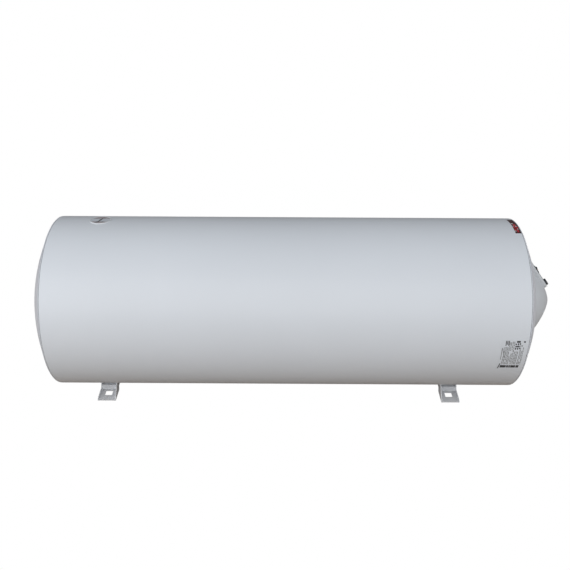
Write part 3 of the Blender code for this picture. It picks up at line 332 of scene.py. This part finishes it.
def facing(origin, normal, up):
    """A place with Z along the normal and X along up."""
    turn = Matrix((up, normal.cross(up), normal)).transposed().to_4x4()
    return Matrix.Translation(origin) @ turn


def panel_place(along=0.0, across=0.0):
    """A place on the console's face, measured from its end beside the knob."""
    at = PANEL_START + PANEL_UP * along + Vector((0, across, 0))
    return facing(at, PANEL_NORMAL, PANEL_UP)


def shell_patch(bm, x_span, angle_span, low, high, lean=0.0):
    """A thin patch on the casing between two places along it and two angles about it, in degrees."""
    steps = max(2, round(abs(angle_span[1] - angle_span[0]) / 1.5))
    rings = []
    for i in range(steps + 1):
        share = i / steps
        angle = math.radians(angle_span[0] + (angle_span[1] - angle_span[0]) * share)
        out = Vector((0, math.sin(angle), math.cos(angle)))
        shift = lean * share
        ring = []
        for x, reach in ((x_span[0], low), (x_span[1], low), (x_span[1], high), (x_span[0], high)):
            ring.append(AXIS + Vector((x + shift, 0, 0)) + out * (RADIUS + reach))
        rings.append(ring)
    return stacked(rings, Matrix(), bm)


def cut(target, bm, name):
    """Takes a shape out of a piece for good."""
    mesh = bpy.data.meshes.new(name)
    bmesh.ops.recalc_face_normals(bm, faces=bm.faces)
    bm.to_mesh(mesh)
    bm.free()
    tool = bpy.data.objects.new(name, mesh)
    bpy.context.scene.collection.objects.link(tool)
    modifier = target.modifiers.new(name, "BOOLEAN")
    modifier.operation = "DIFFERENCE"
    modifier.solver = "EXACT"
    modifier.object = tool
    bpy.context.view_layer.update()
    graph = bpy.context.evaluated_depsgraph_get()
    result = bpy.data.meshes.new_from_object(target.evaluated_get(graph))
    target.modifiers.clear()
    target.data = result
    bpy.data.objects.remove(tool, do_unlink=True)
    result.shade_smooth()
    result.set_sharp_from_angle(angle=math.radians(SHARP))


# ---------------------------------------------------------------- casing and caps

SEAM_HALF = 0.0006
EDGE_TURN = 0.0016
SEAM_DEEP = 0.0030
SIDES = 256


def cap_profile(opening=0.0):
    """(radius, height) from inside the seam out over the dome."""
    sphere = (RADIUS**2 + CAP_RISE**2) / (2 * CAP_RISE)
    points = [(RADIUS - SEAM_DEEP, -0.008), (RADIUS - SEAM_DEEP, 0.0002), (RADIUS - 0.0005, 0.0002, 0.0015)]
    points.append((RADIUS - 0.0001, 0.0022, 0.004))
    steps = 48
    start = math.asin((RADIUS - 0.004) / sphere)
    stop = math.asin(opening / sphere)
    for i in range(steps + 1):
        angle = start + (stop - start) * i / steps
        points.append((sphere * math.sin(angle), CAP_RISE - sphere + sphere * math.cos(angle)))
    return rounded(points)


def make_casing():
    half = END - SEAM_HALF
    profile = rounded([
        (RADIUS - SEAM_DEEP, -half), (RADIUS, -half, EDGE_TURN), (RADIUS, half, EDGE_TURN),
        (RADIUS - SEAM_DEEP, half),
    ])
    piece("casing_shell", lathe(profile, on_axis(0), SIDES), "heater", CASING,
          ["outer_casing"])
    for name, side in (("left", -1), ("right", 1)):
        profile = cap_profile(0.095 if side > 0 else 0.0)
        piece(f"{name}_cap_shell", lathe(profile, on_axis(side * END, side), SIDES), "heater",
              CAP, [f"{name}_end_cap"])
        ring = [(RADIUS - SEAM_DEEP + 0.0016, -0.004), (RADIUS - SEAM_DEEP + 0.0022, 0.0),
                (RADIUS - SEAM_DEEP + 0.0016, 0.003)]
        piece(f"{name}_seam", lathe(ring, on_axis(side * END, side), SIDES), "heater", SEAM)


# ---------------------------------------------------------------- electrical cover

DOME_START = 0.20
DOME_STEPS = 40
COVER_SIDES = 160
SCREW_HEAD = 0.0032
WELL_RADIUS = 0.0046
CUP_RADIUS = 0.0047
RIM = [(0.1275, 0.040), (0.1268, 0.0455, 0.0015), (0.1215, 0.0515, 0.0015), (0.1195, 0.0505)]
NUT_SEAT = 0.030
NUT_HEIGHT = 0.0085
NUT_BEYOND = 0.0117
NUT_SIZE = 1.06
COSINE_30 = 0.866


def dome_profile():
    """(radius, height) points on the cover's dome, from near its rim to its apex."""
    centre = COVER_APEX - COVER_DEPTH
    points = []
    for i in range(DOME_STEPS + 1):
        angle = math.pi / 2 * (DOME_START + (1.0 - DOME_START) * i / DOME_STEPS)
        across = max(0.0, math.cos(angle)) ** COVER_SHARPNESS
        points.append((COVER_RADIUS * across, centre + COVER_DEPTH * math.sin(angle) ** COVER_SHARPNESS))
    points[-1] = (0.0, points[-1][1])
    return points


def make_screw_well(shell, number, letter):
    """A well cut into the dome round a cover screw, and the cup that lines it."""
    screw_low, screw_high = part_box(f"cover_screw_{number}")
    middle = (screw_low + screw_high) / 2
    seat = screw_high.x - SCREW_HEAD
    outwards = Matrix.Rotation(math.pi / 2, 4, "Y")
    well = rounded([(0, 0), (WELL_RADIUS, 0, 0.0006), (WELL_RADIUS, 0.02), (0.0056, 0.05), (0, 0.05)])
    cut(shell, lathe(well, Matrix.Translation((seat, middle.y, middle.z)) @ outwards, 48), f"well_{letter}")
    cup = [(0, 0), (CUP_RADIUS, 0), (CUP_RADIUS, 0.012)]
    cup_place = Matrix.Translation((seat - 0.0002, middle.y, middle.z)) @ outwards
    piece(f"cover_well_{letter}", lathe(cup, cup_place, 48), "heater", COVER)


def make_cover():
    place = on_axis(END, 1, COVER_LIFT)
    shell = piece("cover_dome", lathe(dome_profile(), place, COVER_SIDES), "heater", COVER,
                  ["electrical_cover"])
    make_screw_well(shell, 1, "a")
    make_screw_well(shell, 2, "b")
    block = cushion_block(
        CONSOLE_LENGTH, CONSOLE_WIDTH, CONSOLE_CORNERS[::-1], -CONSOLE_DEPTH, 0.0, 0.005,
        panel_place(CONSOLE_LENGTH / 2), steps=12,
    )
    piece("cover_console", block, "heater", COVER)
    plate = cushion_block(CONSOLE_LENGTH - 0.017, CONSOLE_WIDTH - 0.012, (0.006, 0.0155), -0.002, 0.0005,
                          0.0004, panel_place(CONSOLE_LENGTH / 2 - 0.002), steps=12)
    piece("console_plate", plate, "heater", PANEL)
    piece("cover_rim", lathe(rounded(RIM), place, COVER_SIDES), "heater", COVER)


def make_gland():
    """The pad on the cover's side where the cord leaves, and the gland with its nut."""
    gland_low, gland_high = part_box("cable_gland")
    gland = Vector(((gland_low.x + gland_high.x) / 2, AXIS.y, (gland_low.z + gland_high.z) / 2))
    away = Matrix.Translation(gland) @ Matrix.Rotation(-math.pi / 2, 4, "X")
    pad = rounded([(0.018, 0.070), (0.017, 0.1118, 0.002), (0.0105, 0.1118)])
    piece("gland_pad", lathe(pad, away, 64), "heater", COVER)
    top = gland_high.y - AXIS.y
    seat = top - NUT_SEAT

    def hexagon(turn, radius, height):
        """Six flats on the nut alone."""
        if radius < NUT_BEYOND or height > seat + NUT_HEIGHT:
            return 1.0
        return COSINE_30 / math.cos((turn % (math.pi / 3)) - math.pi / 6) * NUT_SIZE

    body = rounded([
        (0.0045, seat - 0.015), (0.0098, seat - 0.015), (0.0098, seat + 0.0002), (0.0129, seat + 0.0002),
        (0.0129, seat + 0.0078), (0.0104, seat + 0.0082, 0.0006), (0.0104, seat + 0.012),
        (0.0098, seat + 0.0125), (0.0098, top - 0.007, 0.003), (0.0072, top - 0.0002, 0.0012),
        (0.0046, top - 0.0002, 0.0006), (0.0045, seat),
    ])
    piece("gland_body", lathe(body, away, 96, wave=hexagon), "heater", TRIM,
          ["cable_gland"])


# ---------------------------------------------------------------- knob, switch and lamp

KNOB_RADIUS = 0.0108
KNOB_TICKS = 11
KNOB_SWEEP = 270
BEZEL_OUTER = (0.0214, 0.0154)
BEZEL_INNER = (0.0158, 0.0098)
ROCKER_REST = -10
MARK_TILT = 17
MARK_ALONG = 0.0043


def make_knob():
    """The knob, fluted round its edge, with its pointer and the scale about it."""
    knob = rounded([
        (0, 0.0006), (KNOB_RADIUS, 0.0006, 0.0004), (KNOB_RADIUS, 0.0020, 0.0006),
        (KNOB_RADIUS - 0.0006, 0.0022), (KNOB_RADIUS - 0.0012, 0.0060, 0.0014), (0.0070, 0.0064, 0.0012),
        (0.0055, 0.0058), (0, 0.0056),
    ])
    place = facing(KNOB, PANEL_NORMAL, PANEL_UP)
    piece("knob_turned", lathe(knob, place, 144, wave=fluted(18, 0.045, 0.009)), "thermostat_knob",
          DARK, ["thermostat_knob"])
    pointer = cushion_block(0.0062, 0.0011, (0.0004, 0.0004), 0.0050, 0.00652, 0.0003,
                            place, (0.0058, 0), steps=3)
    piece("knob_pointer", pointer, "thermostat_knob", MARKS)
    ticks = bmesh.new()
    for i in range(KNOB_TICKS):
        angle = math.radians(KNOB_SWEEP * (i / (KNOB_TICKS - 1) - 0.5))
        turned = place @ Matrix.Rotation(angle, 4, "Z") @ Matrix.Translation((0.0138, 0, 0))
        length = 0.0026 if i % 5 == 0 else 0.0016
        cushion_block(length, 0.0006, (0.0002, 0.0002), 0.0002, 0.00065, 0.0001, turned, bm=ticks, steps=2)
    piece("knob_scale", ticks, "heater", DARK)


def make_switch():
    """The switch's frame and its rocker, with the on and off marks."""
    switch = facing(ROCKER, PANEL_NORMAL, PANEL_UP)
    outer, inner = BEZEL_OUTER, BEZEL_INNER
    rings = [
        rounded_rectangle(*outer, (0.0018, 0.0018), -0.0005),
        rounded_rectangle(*outer, (0.0018, 0.0018), 0.0016),
        rounded_rectangle(outer[0] - 0.0008, outer[1] - 0.0008, (0.0015, 0.0015), 0.0025),
        rounded_rectangle(inner[0] + 0.0006, inner[1] + 0.0006, (0.0008, 0.0008), 0.0026),
        rounded_rectangle(*inner, (0.0006, 0.0006), 0.0020),
        rounded_rectangle(*inner, (0.0006, 0.0006), -0.0100),
    ]
    piece("switch_bezel", stacked(rings, switch, caps=(False, True)), "heater", DARK,
          ["switch_frame"])
    rest = switch @ Matrix.Rotation(math.radians(ROCKER_REST), 4, "Y")
    length, width = inner[0] - 0.0014, inner[1] - 0.0010
    shape = rounded([(-length / 2 * 0.8, -0.0045), (-length / 2, 0.0044, 0.0006), (0.0, 0.0022, 0.006),
                     (length / 2, 0.0044, 0.0006), (length / 2 * 0.8, -0.0045)], 8)
    rows = []
    for side, pull in ((-1, 0.0004), (-0.93, 0.0), (0.93, 0.0), (1, 0.0004)):
        rows.append([(x * (1 - pull / 0.008), side * width / 2, z - pull) for x, z in shape])
    piece("rocker_cap", stacked(rows, rest), "rocker", DARK, ["rocker_switch"])
    marks = bmesh.new()
    bar_place = rest @ Matrix.Translation((MARK_ALONG, 0, 0))
    bar_place = bar_place @ Matrix.Rotation(math.radians(-MARK_TILT), 4, "Y")
    cushion_block(0.0022, 0.0005, (0.0001, 0.0001), 0.0028, 0.00375, 0.0001, bar_place, bm=marks, steps=2)
    ring = [(0.0008, 0.0029), (0.0013, 0.0029), (0.0013, 0.0037), (0.0008, 0.0037)]
    ring_place = rest @ Matrix.Translation((-MARK_ALONG, 0, 0))
    ring_place = ring_place @ Matrix.Rotation(math.radians(MARK_TILT), 4, "Y")
    lathe(ring, ring_place, 24, True, bm=marks)
    piece("rocker_marks", marks, "rocker", MARKS)


def make_lamp():
    """The pilot lamp's ribbed lens in its bezel."""
    lamp_low, lamp_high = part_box("pilot_lamp")
    lamp = (lamp_low + lamp_high) / 2
    along = (lamp - PANEL_START).dot(PANEL_UP)
    place = panel_place(along, lamp.y - PANEL_START.y)
    bezel = rounded([(0.0046, -0.004), (0.0056, 0.0003), (0.0055, 0.0011, 0.0004), (0.0042, 0.0015, 0.0003),
                     (0.0040, 0.0004)])
    piece("lamp_bezel", lathe(bezel, place, 64), "heater", TRIM)
    lens = rounded([(0.0039, -0.006), (0.0039, 0.0016, 0.0004), (0.0030, 0.0030, 0.0012), (0.0, 0.0034)])
    piece("lamp_lens", lathe(lens, place, 64, wave=fluted(16, 0.03)), "heater", AMBER,
          ["pilot_lamp"])


# ---------------------------------------------------------------- dial thermometer

DIAL_SWEEP = 240
GRADUATIONS = 41
NUMBER_SIZE = 0.0052
NUMBER_REACH = 0.0185
FACE_HEIGHT = -0.0004


def make_dial():
    place = facing(DIAL, DIAL_NORMAL, Vector((1, 0, 0)))
    bezel = rounded([
        (0.0292, -0.0045), (0.0316, -0.0022, 0.0004), (0.0316, 0.0007, 0.0006), (0.0302, 0.00125, 0.0005),
        (0.0288, 0.0009, 0.0004), (0.0284, -0.0006),
    ])
    piece("dial_bezel", lathe(bezel, place, 128), "heater", TRIM,
          ["thermometer_housing"])
    face = [(0.0286, -0.0008), (0.0284, FACE_HEIGHT), (0.0, FACE_HEIGHT)]
    piece("dial_face_plate", lathe(face, place, 96), "heater", DIAL_FACE,
          ["thermometer_dial"])
    ticks = bmesh.new()
    for i in range(GRADUATIONS):
        angle = math.radians(DIAL_SWEEP * (i / (GRADUATIONS - 1) - 0.5))
        length, wide = (0.0034, 0.0006) if i % 5 == 0 else (0.0018, 0.0003)
        turned = place @ Matrix.Rotation(angle, 4, "Z") @ Matrix.Translation((0.0262 - length / 2, 0, 0))
        cushion_block(length, wide, (0.0001, 0.0001), FACE_HEIGHT, -0.00018, 0.00005, turned, bm=ticks,
                      steps=2)
    piece("dial_graduations", ticks, "heater", BLACK)
    make_dial_numbers(place)
    make_needle(place)
    lens = rounded([(0.0283, 0.00065), (0.0283, 0.00085), (0.0, 0.00115)])
    piece("dial_glass", lathe(lens, place, 96), "heater", GLASS, ["thermometer_lens"])


def make_dial_numbers(place):
    """0, 20, 40, 60 and 80 round the face, each with its foot towards the middle."""
    for i in range(0, 9, 2):
        text = bpy.data.curves.new(f"dial_number_{i}", "FONT")
        text.body = str(i * 10)
        text.size = NUMBER_SIZE
        text.align_x = "CENTER"
        text.align_y = "CENTER"
        text.extrude = 0.00008
        text.materials.append(BLACK)
        made = bpy.data.objects.new(f"dial_number_{i}", text)
        bpy.context.scene.collection.objects.link(made)
        angle = math.radians(120 - 30 * i)
        at = Matrix.Rotation(angle, 4, "Z") @ Matrix.Translation((NUMBER_REACH, 0, -0.00028))
        made.matrix_world = place @ at @ Matrix.Rotation(-angle - math.pi / 2, 4, "Z")
        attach(made, "heater")


def make_needle(place):
    needle_place = place @ Matrix.Rotation(NEEDLE_ANGLE, 4, "Z")
    needle = bmesh.new()
    outline = [(-0.0140, -0.0018), (0.0, -0.0021), (0.0235, -0.0008), (0.0260, 0.0), (0.0235, 0.0008),
               (0.0, 0.0021), (-0.0140, 0.0018)]
    rings = [[(x, y, z) for x, y in outline] for z in (0.0001, 0.0006)]
    stacked(rings, needle_place, needle)
    hub = rounded([(0, 0.0), (0.0034, 0.0, 0.0003), (0.0034, 0.0009, 0.0004), (0, 0.0010)])
    lathe(hub, needle_place, 32, bm=needle)
    piece("needle_arrow", needle, "needle", BLACK, ["thermometer_needle"])


# ---------------------------------------------------------------- wall brackets

BRACKET_SHEET = 0.003
BRACKET_STEP = 0.0122
BRACKET_STEP_AT = 0.097
BRACKET_STEP_RUN = 0.006
BRACKET_HOLE = 0.022
BRACKET_HOLE_AT = 0.1215
LIP = 0.0120
OUTER_LIP = 0.007
LIP_CORNER = 0.010
LIP_SLOPE = 0.85
BEND = 0.0035
BEND_STEPS = 6
BEND_LEAN = 0.45
LIP_STEPS = 96
LIP_OVERLAP = 0.6
LIP_EDGE = 0.0004
LIP_FOOT = 0.0003
CASING_CLEARANCE = 0.0010
BRACKET_OUTER = BRACKET_STEP_AT + BRACKET_STEP_RUN


def sheet_run(half, thickness, direction):
    """(y, z) points along one face of the sheet, which steps up beneath the casing."""
    lean = direction * BRACKET_SHEET * BEND_LEAN
    points = [(-half, thickness), (-BRACKET_OUTER - lean, thickness, BEND),
              (-BRACKET_STEP_AT - lean, BRACKET_STEP + thickness, BEND)]
    return points + [(-y, *rest) for y, *rest in points[::-1]]


def lip_edges(half, inner):
    """The lip's lower and upper edge as (y, z) points; the inner lip slopes up to the casing."""
    rise = LIP if inner else OUTER_LIP
    places = {-half + 2 * half * i / LIP_STEPS for i in range(LIP_STEPS + 1)}
    places |= {-BRACKET_OUTER, -BRACKET_STEP_AT, BRACKET_STEP_AT, BRACKET_OUTER}
    bottom, top = [], []
    for y in sorted(places):
        from_end = half - abs(y)
        floor = 0.0
        if abs(y) < BRACKET_OUTER:
            floor = min(BRACKET_STEP, (BRACKET_OUTER - abs(y)) / BRACKET_STEP_RUN * BRACKET_STEP)
        under = AXIS.z - math.sqrt((RADIUS + CASING_CLEARANCE) ** 2 - y**2)
        corner = math.sqrt(1 - max(0.0, 1 - from_end / LIP_CORNER) ** 2)
        height = floor + rise * corner
        if inner:
            height += LIP_SLOPE * max(0.0, from_end - LIP_CORNER)
        bottom.append((y, floor + LIP_FOOT))
        top.append((y, min(under, max(BRACKET_SHEET + 0.0004, height))))
    return bottom, top


def make_bracket(side):
    low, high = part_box(f"{side}_wall_bracket")
    middle = Vector(((low.x + high.x) / 2, AXIS.y, 0))
    half = (high.y - low.y) / 2
    wide = (high.x - low.x) / 2
    upper = rounded(sheet_run(half, BRACKET_SHEET, 1), BEND_STEPS)
    lower = rounded(sheet_run(half, 0.0, 0), BEND_STEPS)
    inside = wide - BRACKET_SHEET * LIP_OVERLAP
    rings = [[(x, y, z) for y, z in lower + upper[::-1]] for x in (-inside, inside)]
    plate = piece(f"{side}_bracket_sheet", stacked(rings, Matrix.Translation(middle)), "heater",
                  BRACKET, [f"{side}_wall_bracket"], sharp=30)
    for sign in (-1, 1):
        rings = [rounded_rectangle(BRACKET_HOLE, BRACKET_HOLE, (0.0022, 0.0022), z) for z in (-0.02, 0.02)]
        hole = stacked(rings, Matrix.Translation(middle + Vector((0, sign * BRACKET_HOLE_AT, 0))))
        cut(plate, hole, f"{side}_hole_{sign}")
    for number, sign in ((1, -1), (2, 1)):
        bottom, top = lip_edges(half, sign * middle.x < 0)
        rings = []
        for x, pull in ((0, LIP_EDGE), (LIP_EDGE, 0.0), (BRACKET_SHEET - LIP_EDGE, 0.0),
                        (BRACKET_SHEET, LIP_EDGE)):
            at = sign * (wide - x)
            rings.append([(at, y, z) for y, z in bottom] + [(at, y, z - pull) for y, z in top[::-1]])
        piece(f"{side}_bracket_lip_{number}", stacked(rings, Matrix.Translation(middle)), "heater",
              BRACKET, sharp=30)


# ---------------------------------------------------------------- water pipes

PIPE_OUTER = 0.0131
PIPE_BORE = 0.0095
THREAD_LENGTH = 0.0170
THREAD_PITCH = 0.0018
THREAD_TURNS = 8
THREAD_ROOT = PIPE_OUTER - 0.0012


def make_pipe(name, colour):
    """A zinc pipe with its thread, and the coloured collar that says hot or cold."""
    low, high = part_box(f"{name}_pipe")
    middle = (low + high) / 2
    place = Matrix.Translation((middle.x, 0, middle.z)) @ Matrix.Rotation(-math.pi / 2, 4, "X")
    plain = PIPE_OUTER - 0.0003
    start = high.y - THREAD_LENGTH
    profile = [(PIPE_BORE, low.y), (plain, low.y), (plain, start - 0.0005)]
    for i in range(THREAD_TURNS):
        at = start + i * THREAD_PITCH
        profile += [(THREAD_ROOT, at), (PIPE_OUTER - 0.0001, at + THREAD_PITCH * 0.5)]
    profile += [
        (THREAD_ROOT, start + THREAD_TURNS * THREAD_PITCH), (PIPE_OUTER - 0.0016, high.y - 0.0008),
        (PIPE_OUTER - 0.0022, high.y), (PIPE_BORE + 0.0004, high.y), (PIPE_BORE, high.y - 0.0004),
    ]
    piece(f"{name}_threaded", lathe(profile, place, 72, True), "heater", ZINC,
          [f"{name}_pipe"], sharp=50)
    low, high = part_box(f"{name}_sleeve")
    ring = rounded([(0.0134, low.y), (0.0199, low.y, 0.0008), (0.0199, low.y + 0.006, 0.001),
                    (0.0176, high.y, 0.0015), (0.0134, high.y)])
    piece(f"{name}_collar", lathe(ring, place, 192, wave=fluted(24, 0.012, 0.019)), "heater",
          colour, [f"{name}_sleeve"])


# ---------------------------------------------------------------- label and badge

LABEL_SPAN = (-106.4, -82.1)
FILM_FOOT = 0.00005
INK_LIFT = (0.0002, 0.00042)

# Dark marks: place along the tank, width, and the angles of the upper and the lower edge in degrees
TITLE_MARKS = [(x, wide, -102.6, -104.9) for x, wide in (
    (0.6020, 0.0165), (0.6200, 0.0050), (0.6262, 0.0045), (0.6318, 0.0130), (0.6464, 0.0075),
)]
HEADING_MARKS = [
    (0.6345, 0.0100, -83.0, -84.3), (0.6315, 0.0035, -84.9, -86.0), (0.6375, 0.0035, -84.7, -86.2),
    (0.6430, 0.0030, -84.6, -85.8), (0.6320, 0.0120, -86.6, -87.5), (0.6318, 0.0030, -87.9, -89.4),
    (0.6372, 0.0030, -87.9, -89.4), (0.6425, 0.0028, -87.9, -89.0), (0.6535, 0.0050, -83.2, -84.2),
]

# Columns of small print: place along the tank, number of lines and the angle each starts at
COLUMNS = (
    (0.6030, 3, -87.5), (0.6150, 2, -84.0), (0.6235, 2, -83.5), (0.6320, 3, -90.8), (0.6460, 3, -86.0),
)
LINE_STEP = 0.0040
LINE_WIDTH = 0.0022
PRINT_END = -101.4
PRINT_SHARE = 0.95


def print_columns(draw, mark, faint):
    """Lines of small print, broken into words of random length."""
    for x, count, top in COLUMNS:
        for k in range(count):
            at = top
            while at > PRINT_END:
                length = draw.uniform(0.8, 2.6)
                if draw.random() < PRINT_SHARE:
                    mark(faint, x + LINE_STEP * k, LINE_WIDTH, at, max(PRINT_END - 0.2, at - length))
                at -= length + draw.uniform(0.3, 0.6)


def make_label():
    label_low, label_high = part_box("rating_label")
    along = (label_low.x - AXIS.x, label_high.x - AXIS.x)
    base = shell_patch(bmesh.new(), along, LABEL_SPAN, FILM_FOOT, 0.00025)
    piece("label_film", base, "heater", LABEL, ["rating_label"])
    dark, faint = bmesh.new(), bmesh.new()

    def mark(bm, x, wide, top, bottom, lean=0.0):
        shell_patch(bm, (x, x + wide), (top, bottom), *INK_LIFT, lean)

    for placed in TITLE_MARKS:
        mark(dark, *placed)
    mark(dark, 0.5985, 0.0026, -101.0, -105.6, -0.0026)
    mark(faint, 0.5962, 0.0018, -88.2, -97.6, 0.0010)
    mark(faint, 0.5975, 0.0016, -88.2, -95.2, 0.0080)
    for i in range(3):
        mark(dark, 0.6045 + 0.0038 * i, 0.0022, -83.0, -86.6 + 0.9 * (i % 2))
    for placed in HEADING_MARKS:
        mark(dark, *placed)
    print_columns(random.Random(5), mark, faint)
    piece("label_dark_marks", dark, "heater", INK, merge=False)
    piece("label_faint_marks", faint, "heater", FAINT_INK, merge=False)


BADGE_SPAN = (-7.9, 14.5)
BADGE_INSET = 0.0022
BADGE_FOOT = 0.00033

# Marks on the badge: place from its left edge, width, and two angles in degrees
BADGE_BLOCKS = (
    (0.0060, 0.0075, 1.2, 4.6), (0.0034, 0.0050, -1.6, 0.6), (0.0096, 0.0062, -2.2, 0.4),
    (0.0040, 0.0040, -4.6, -2.6), (0.0090, 0.0050, -6.6, -3.6),
)
BADGE_FLECKS = (
    (0.0026, 0.0058, 4.9, 5.8), (0.0100, 0.0040, 0.7, 1.5), (0.0026, 0.0032, 0.9, 1.6),
    (0.0120, 0.0030, -3.2, -2.5), (0.0028, 0.0036, -5.7, -5.0),
)


def make_badge():
    badge_low, badge_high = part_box("brand_badge")
    start = badge_low.x - AXIS.x
    stop = badge_high.x - AXIS.x
    # Dark base film: the badge's ground and, over its upper part above the red blocks, painted shade in
    # place of the grazing reflection.
    base = shell_patch(bmesh.new(), (start + BADGE_INSET, stop), BADGE_SPAN, FILM_FOOT, 0.00035)
    piece("badge_film", base, "heater", BADGE_GROUND_AND_PAINTED_SHADE, ["brand_badge"])
    for name, marks, top, material in (("badge_blocks", BADGE_BLOCKS, 0.00042, BADGE_RED),
                                       ("badge_flecks", BADGE_FLECKS, 0.00046, MARKS)):
        printed = bmesh.new()
        for x, wide, low, high in marks:
            shell_patch(printed, (start + x, start + x + wide), (low, high), BADGE_FOOT, top)
        piece(name, printed, "heater", material, merge=False)


# ---------------------------------------------------------------- what stays as the frame has it

KEPT = {
    ZINC: ["cover_stay", "cover_screw_1", "cover_screw_2", "flange_plate", "flange_collar",
           "thermostat_pocket", "left_bracket_bolt_upper", "left_bracket_bolt_lower",
           "right_bracket_bolt_upper", "right_bracket_bolt_lower", "flange_bolt_1", "flange_bolt_2",
           "flange_bolt_3", "flange_bolt_4", "flange_bolt_5"],
    ENAMEL: ["inner_tank_shell", "left_tank_head", "right_tank_head"],
    FOAM: ["foam_insulation"],
    RUBBER: ["flange_gasket"],
    COPPER: ["heating_element_1", "heating_element_2", "thermostat_capillary", "sensing_bulb",
             "thermometer_probe"],
    BRASS: ["knob_shaft", "earth_stud"],
    MAGNESIUM: ["magnesium_anode"],
    DARK: ["thermal_cutout", "thermostat_regulator"],
    RED: ["reset_button"],
    TRIM: ["terminal_block", "inlet_diffuser"],
    BROWN_WIRE: ["line_wire"],
    BLUE_WIRE: ["element_wire"],
}


def paint_kept():
    for material, names in KEPT.items():
        for name in names:
            mesh = frame["nodes"][name].data
            mesh.materials.clear()
            mesh.materials.append(material)


# ---------------------------------------------------------------- camera, floor and light

CAMERA_FROM_AXIS = (0.0, -1.88286, 1.18566)
CAMERA_TURN = (58.9991, -0.25876, 0.19747)
CAMERA_LENS = 46.053
WHITE = (1, 1, 1, 1)
FLOOR_COLOUR = (0.31, 0.25, 0.195, 1)
FLOOR_HALF = 40
FLOOR_DROP = 0.0002
WORLD_COLOUR = (0.95, 0.97, 1.0, 1)
WORLD_FRONT = 0.62
WORLD_BACK = 0.24

# Each light's place and target from the casing's middle, its size in metres and its power in watts
LIGHTS = {
    "key": ((-0.6, -3.2, 2.4), (0, 0, 0), (5.5, 3.4), 77),
    "right_fill": ((3.2, -1.0, 0.9), (0.75, 0, 0), (1.2, 1.2), 18),
    "left_fill": ((-3.2, -1.4, 1.0), (-0.75, 0, 0), (1.4, 1.4), 24),
}


def make_camera():
    camera = bpy.data.cameras.new("camera")
    camera.lens = CAMERA_LENS
    camera.sensor_width = 36
    camera.clip_start = 0.05
    camera.clip_end = 200
    made = bpy.data.objects.new("camera", camera)
    made.location = AXIS + Vector(CAMERA_FROM_AXIS)
    made.rotation_euler = [math.radians(angle) for angle in CAMERA_TURN]
    bpy.context.scene.collection.objects.link(made)
    bpy.context.scene.camera = made


def seen_as(tree, lit, seen, output):
    """Shows the seen shader to the camera and leaves the lit one to take part in the light."""
    path = tree.nodes.new("ShaderNodeLightPath")
    choose = tree.nodes.new("ShaderNodeMixShader")
    tree.links.new(path.outputs["Is Camera Ray"], choose.inputs[0])
    tree.links.new(lit.outputs[0], choose.inputs[1])
    tree.links.new(seen.outputs[0], choose.inputs[2])
    tree.links.new(choose.outputs[0], tree.nodes[output].inputs["Surface"])


def make_floor():
    bm = bmesh.new()
    bmesh.ops.create_grid(bm, x_segments=1, y_segments=1, size=FLOOR_HALF)
    mesh = bpy.data.meshes.new("floor")
    bm.to_mesh(mesh)
    bm.free()
    floor = bpy.data.objects.new("floor", mesh)
    floor.location.z = -FLOOR_DROP
    bpy.context.scene.collection.objects.link(floor)
    made = bpy.data.materials.new("floor_paper")
    made.use_nodes = True
    nodes = made.node_tree.nodes
    shader = nodes["Principled BSDF"]
    shader.inputs["Base Color"].default_value = FLOOR_COLOUR
    shader.inputs["Roughness"].default_value = 0.9
    glow = nodes.new("ShaderNodeEmission")
    glow.inputs["Color"].default_value = WHITE
    glow.inputs["Strength"].default_value = 1.0
    seen_as(made.node_tree, shader, glow, "Material Output")
    mesh.materials.append(made)


def area_light(name, place, target, size, power):
    light = bpy.data.lights.new(name, "AREA")
    light.shape = "RECTANGLE"
    light.size, light.size_y = size
    light.energy = power
    made = bpy.data.objects.new(name, light)
    made.location = AXIS + Vector(place)
    made.rotation_mode = "QUATERNION"
    made.rotation_quaternion = (Vector(target) - Vector(place)).to_track_quat("-Z", "Y")
    bpy.context.scene.collection.objects.link(made)


def make_light():
    """A soft world that weakens towards the back and is white to the camera, and the area lights."""
    world = bpy.data.worlds.new("studio")
    world.use_nodes = True
    nodes = world.node_tree.nodes
    links = world.node_tree.links
    soft = nodes["Background"]
    soft.inputs["Color"].default_value = WORLD_COLOUR
    where = nodes.new("ShaderNodeTexCoord")
    split = nodes.new("ShaderNodeSeparateXYZ")
    towards_back = nodes.new("ShaderNodeMapRange")
    towards_back.inputs["From Min"].default_value = -1
    towards_back.inputs["To Min"].default_value = WORLD_FRONT
    towards_back.inputs["To Max"].default_value = WORLD_BACK
    links.new(where.outputs["Generated"], split.inputs["Vector"])
    links.new(split.outputs["Y"], towards_back.inputs["Value"])
    links.new(towards_back.outputs["Result"], soft.inputs["Strength"])
    seen = nodes.new("ShaderNodeBackground")
    seen.inputs["Color"].default_value = WHITE
    seen_as(world.node_tree, soft, seen, "World Output")
    bpy.context.scene.world = world
    for name, placed in LIGHTS.items():
        area_light(name, *placed)


make_camera()
make_floor()
make_light()
make_casing()
make_cover()
make_gland()
make_knob()
make_switch()
make_lamp()
make_dial()
for bracket_side in ("left", "right"):
    make_bracket(bracket_side)
make_pipe("cold_inlet", BLUE)
make_pipe("hot_outlet", RED)
make_label()
make_badge()
paint_kept()
bpy.context.scene.view_settings.view_transform = "Standard"
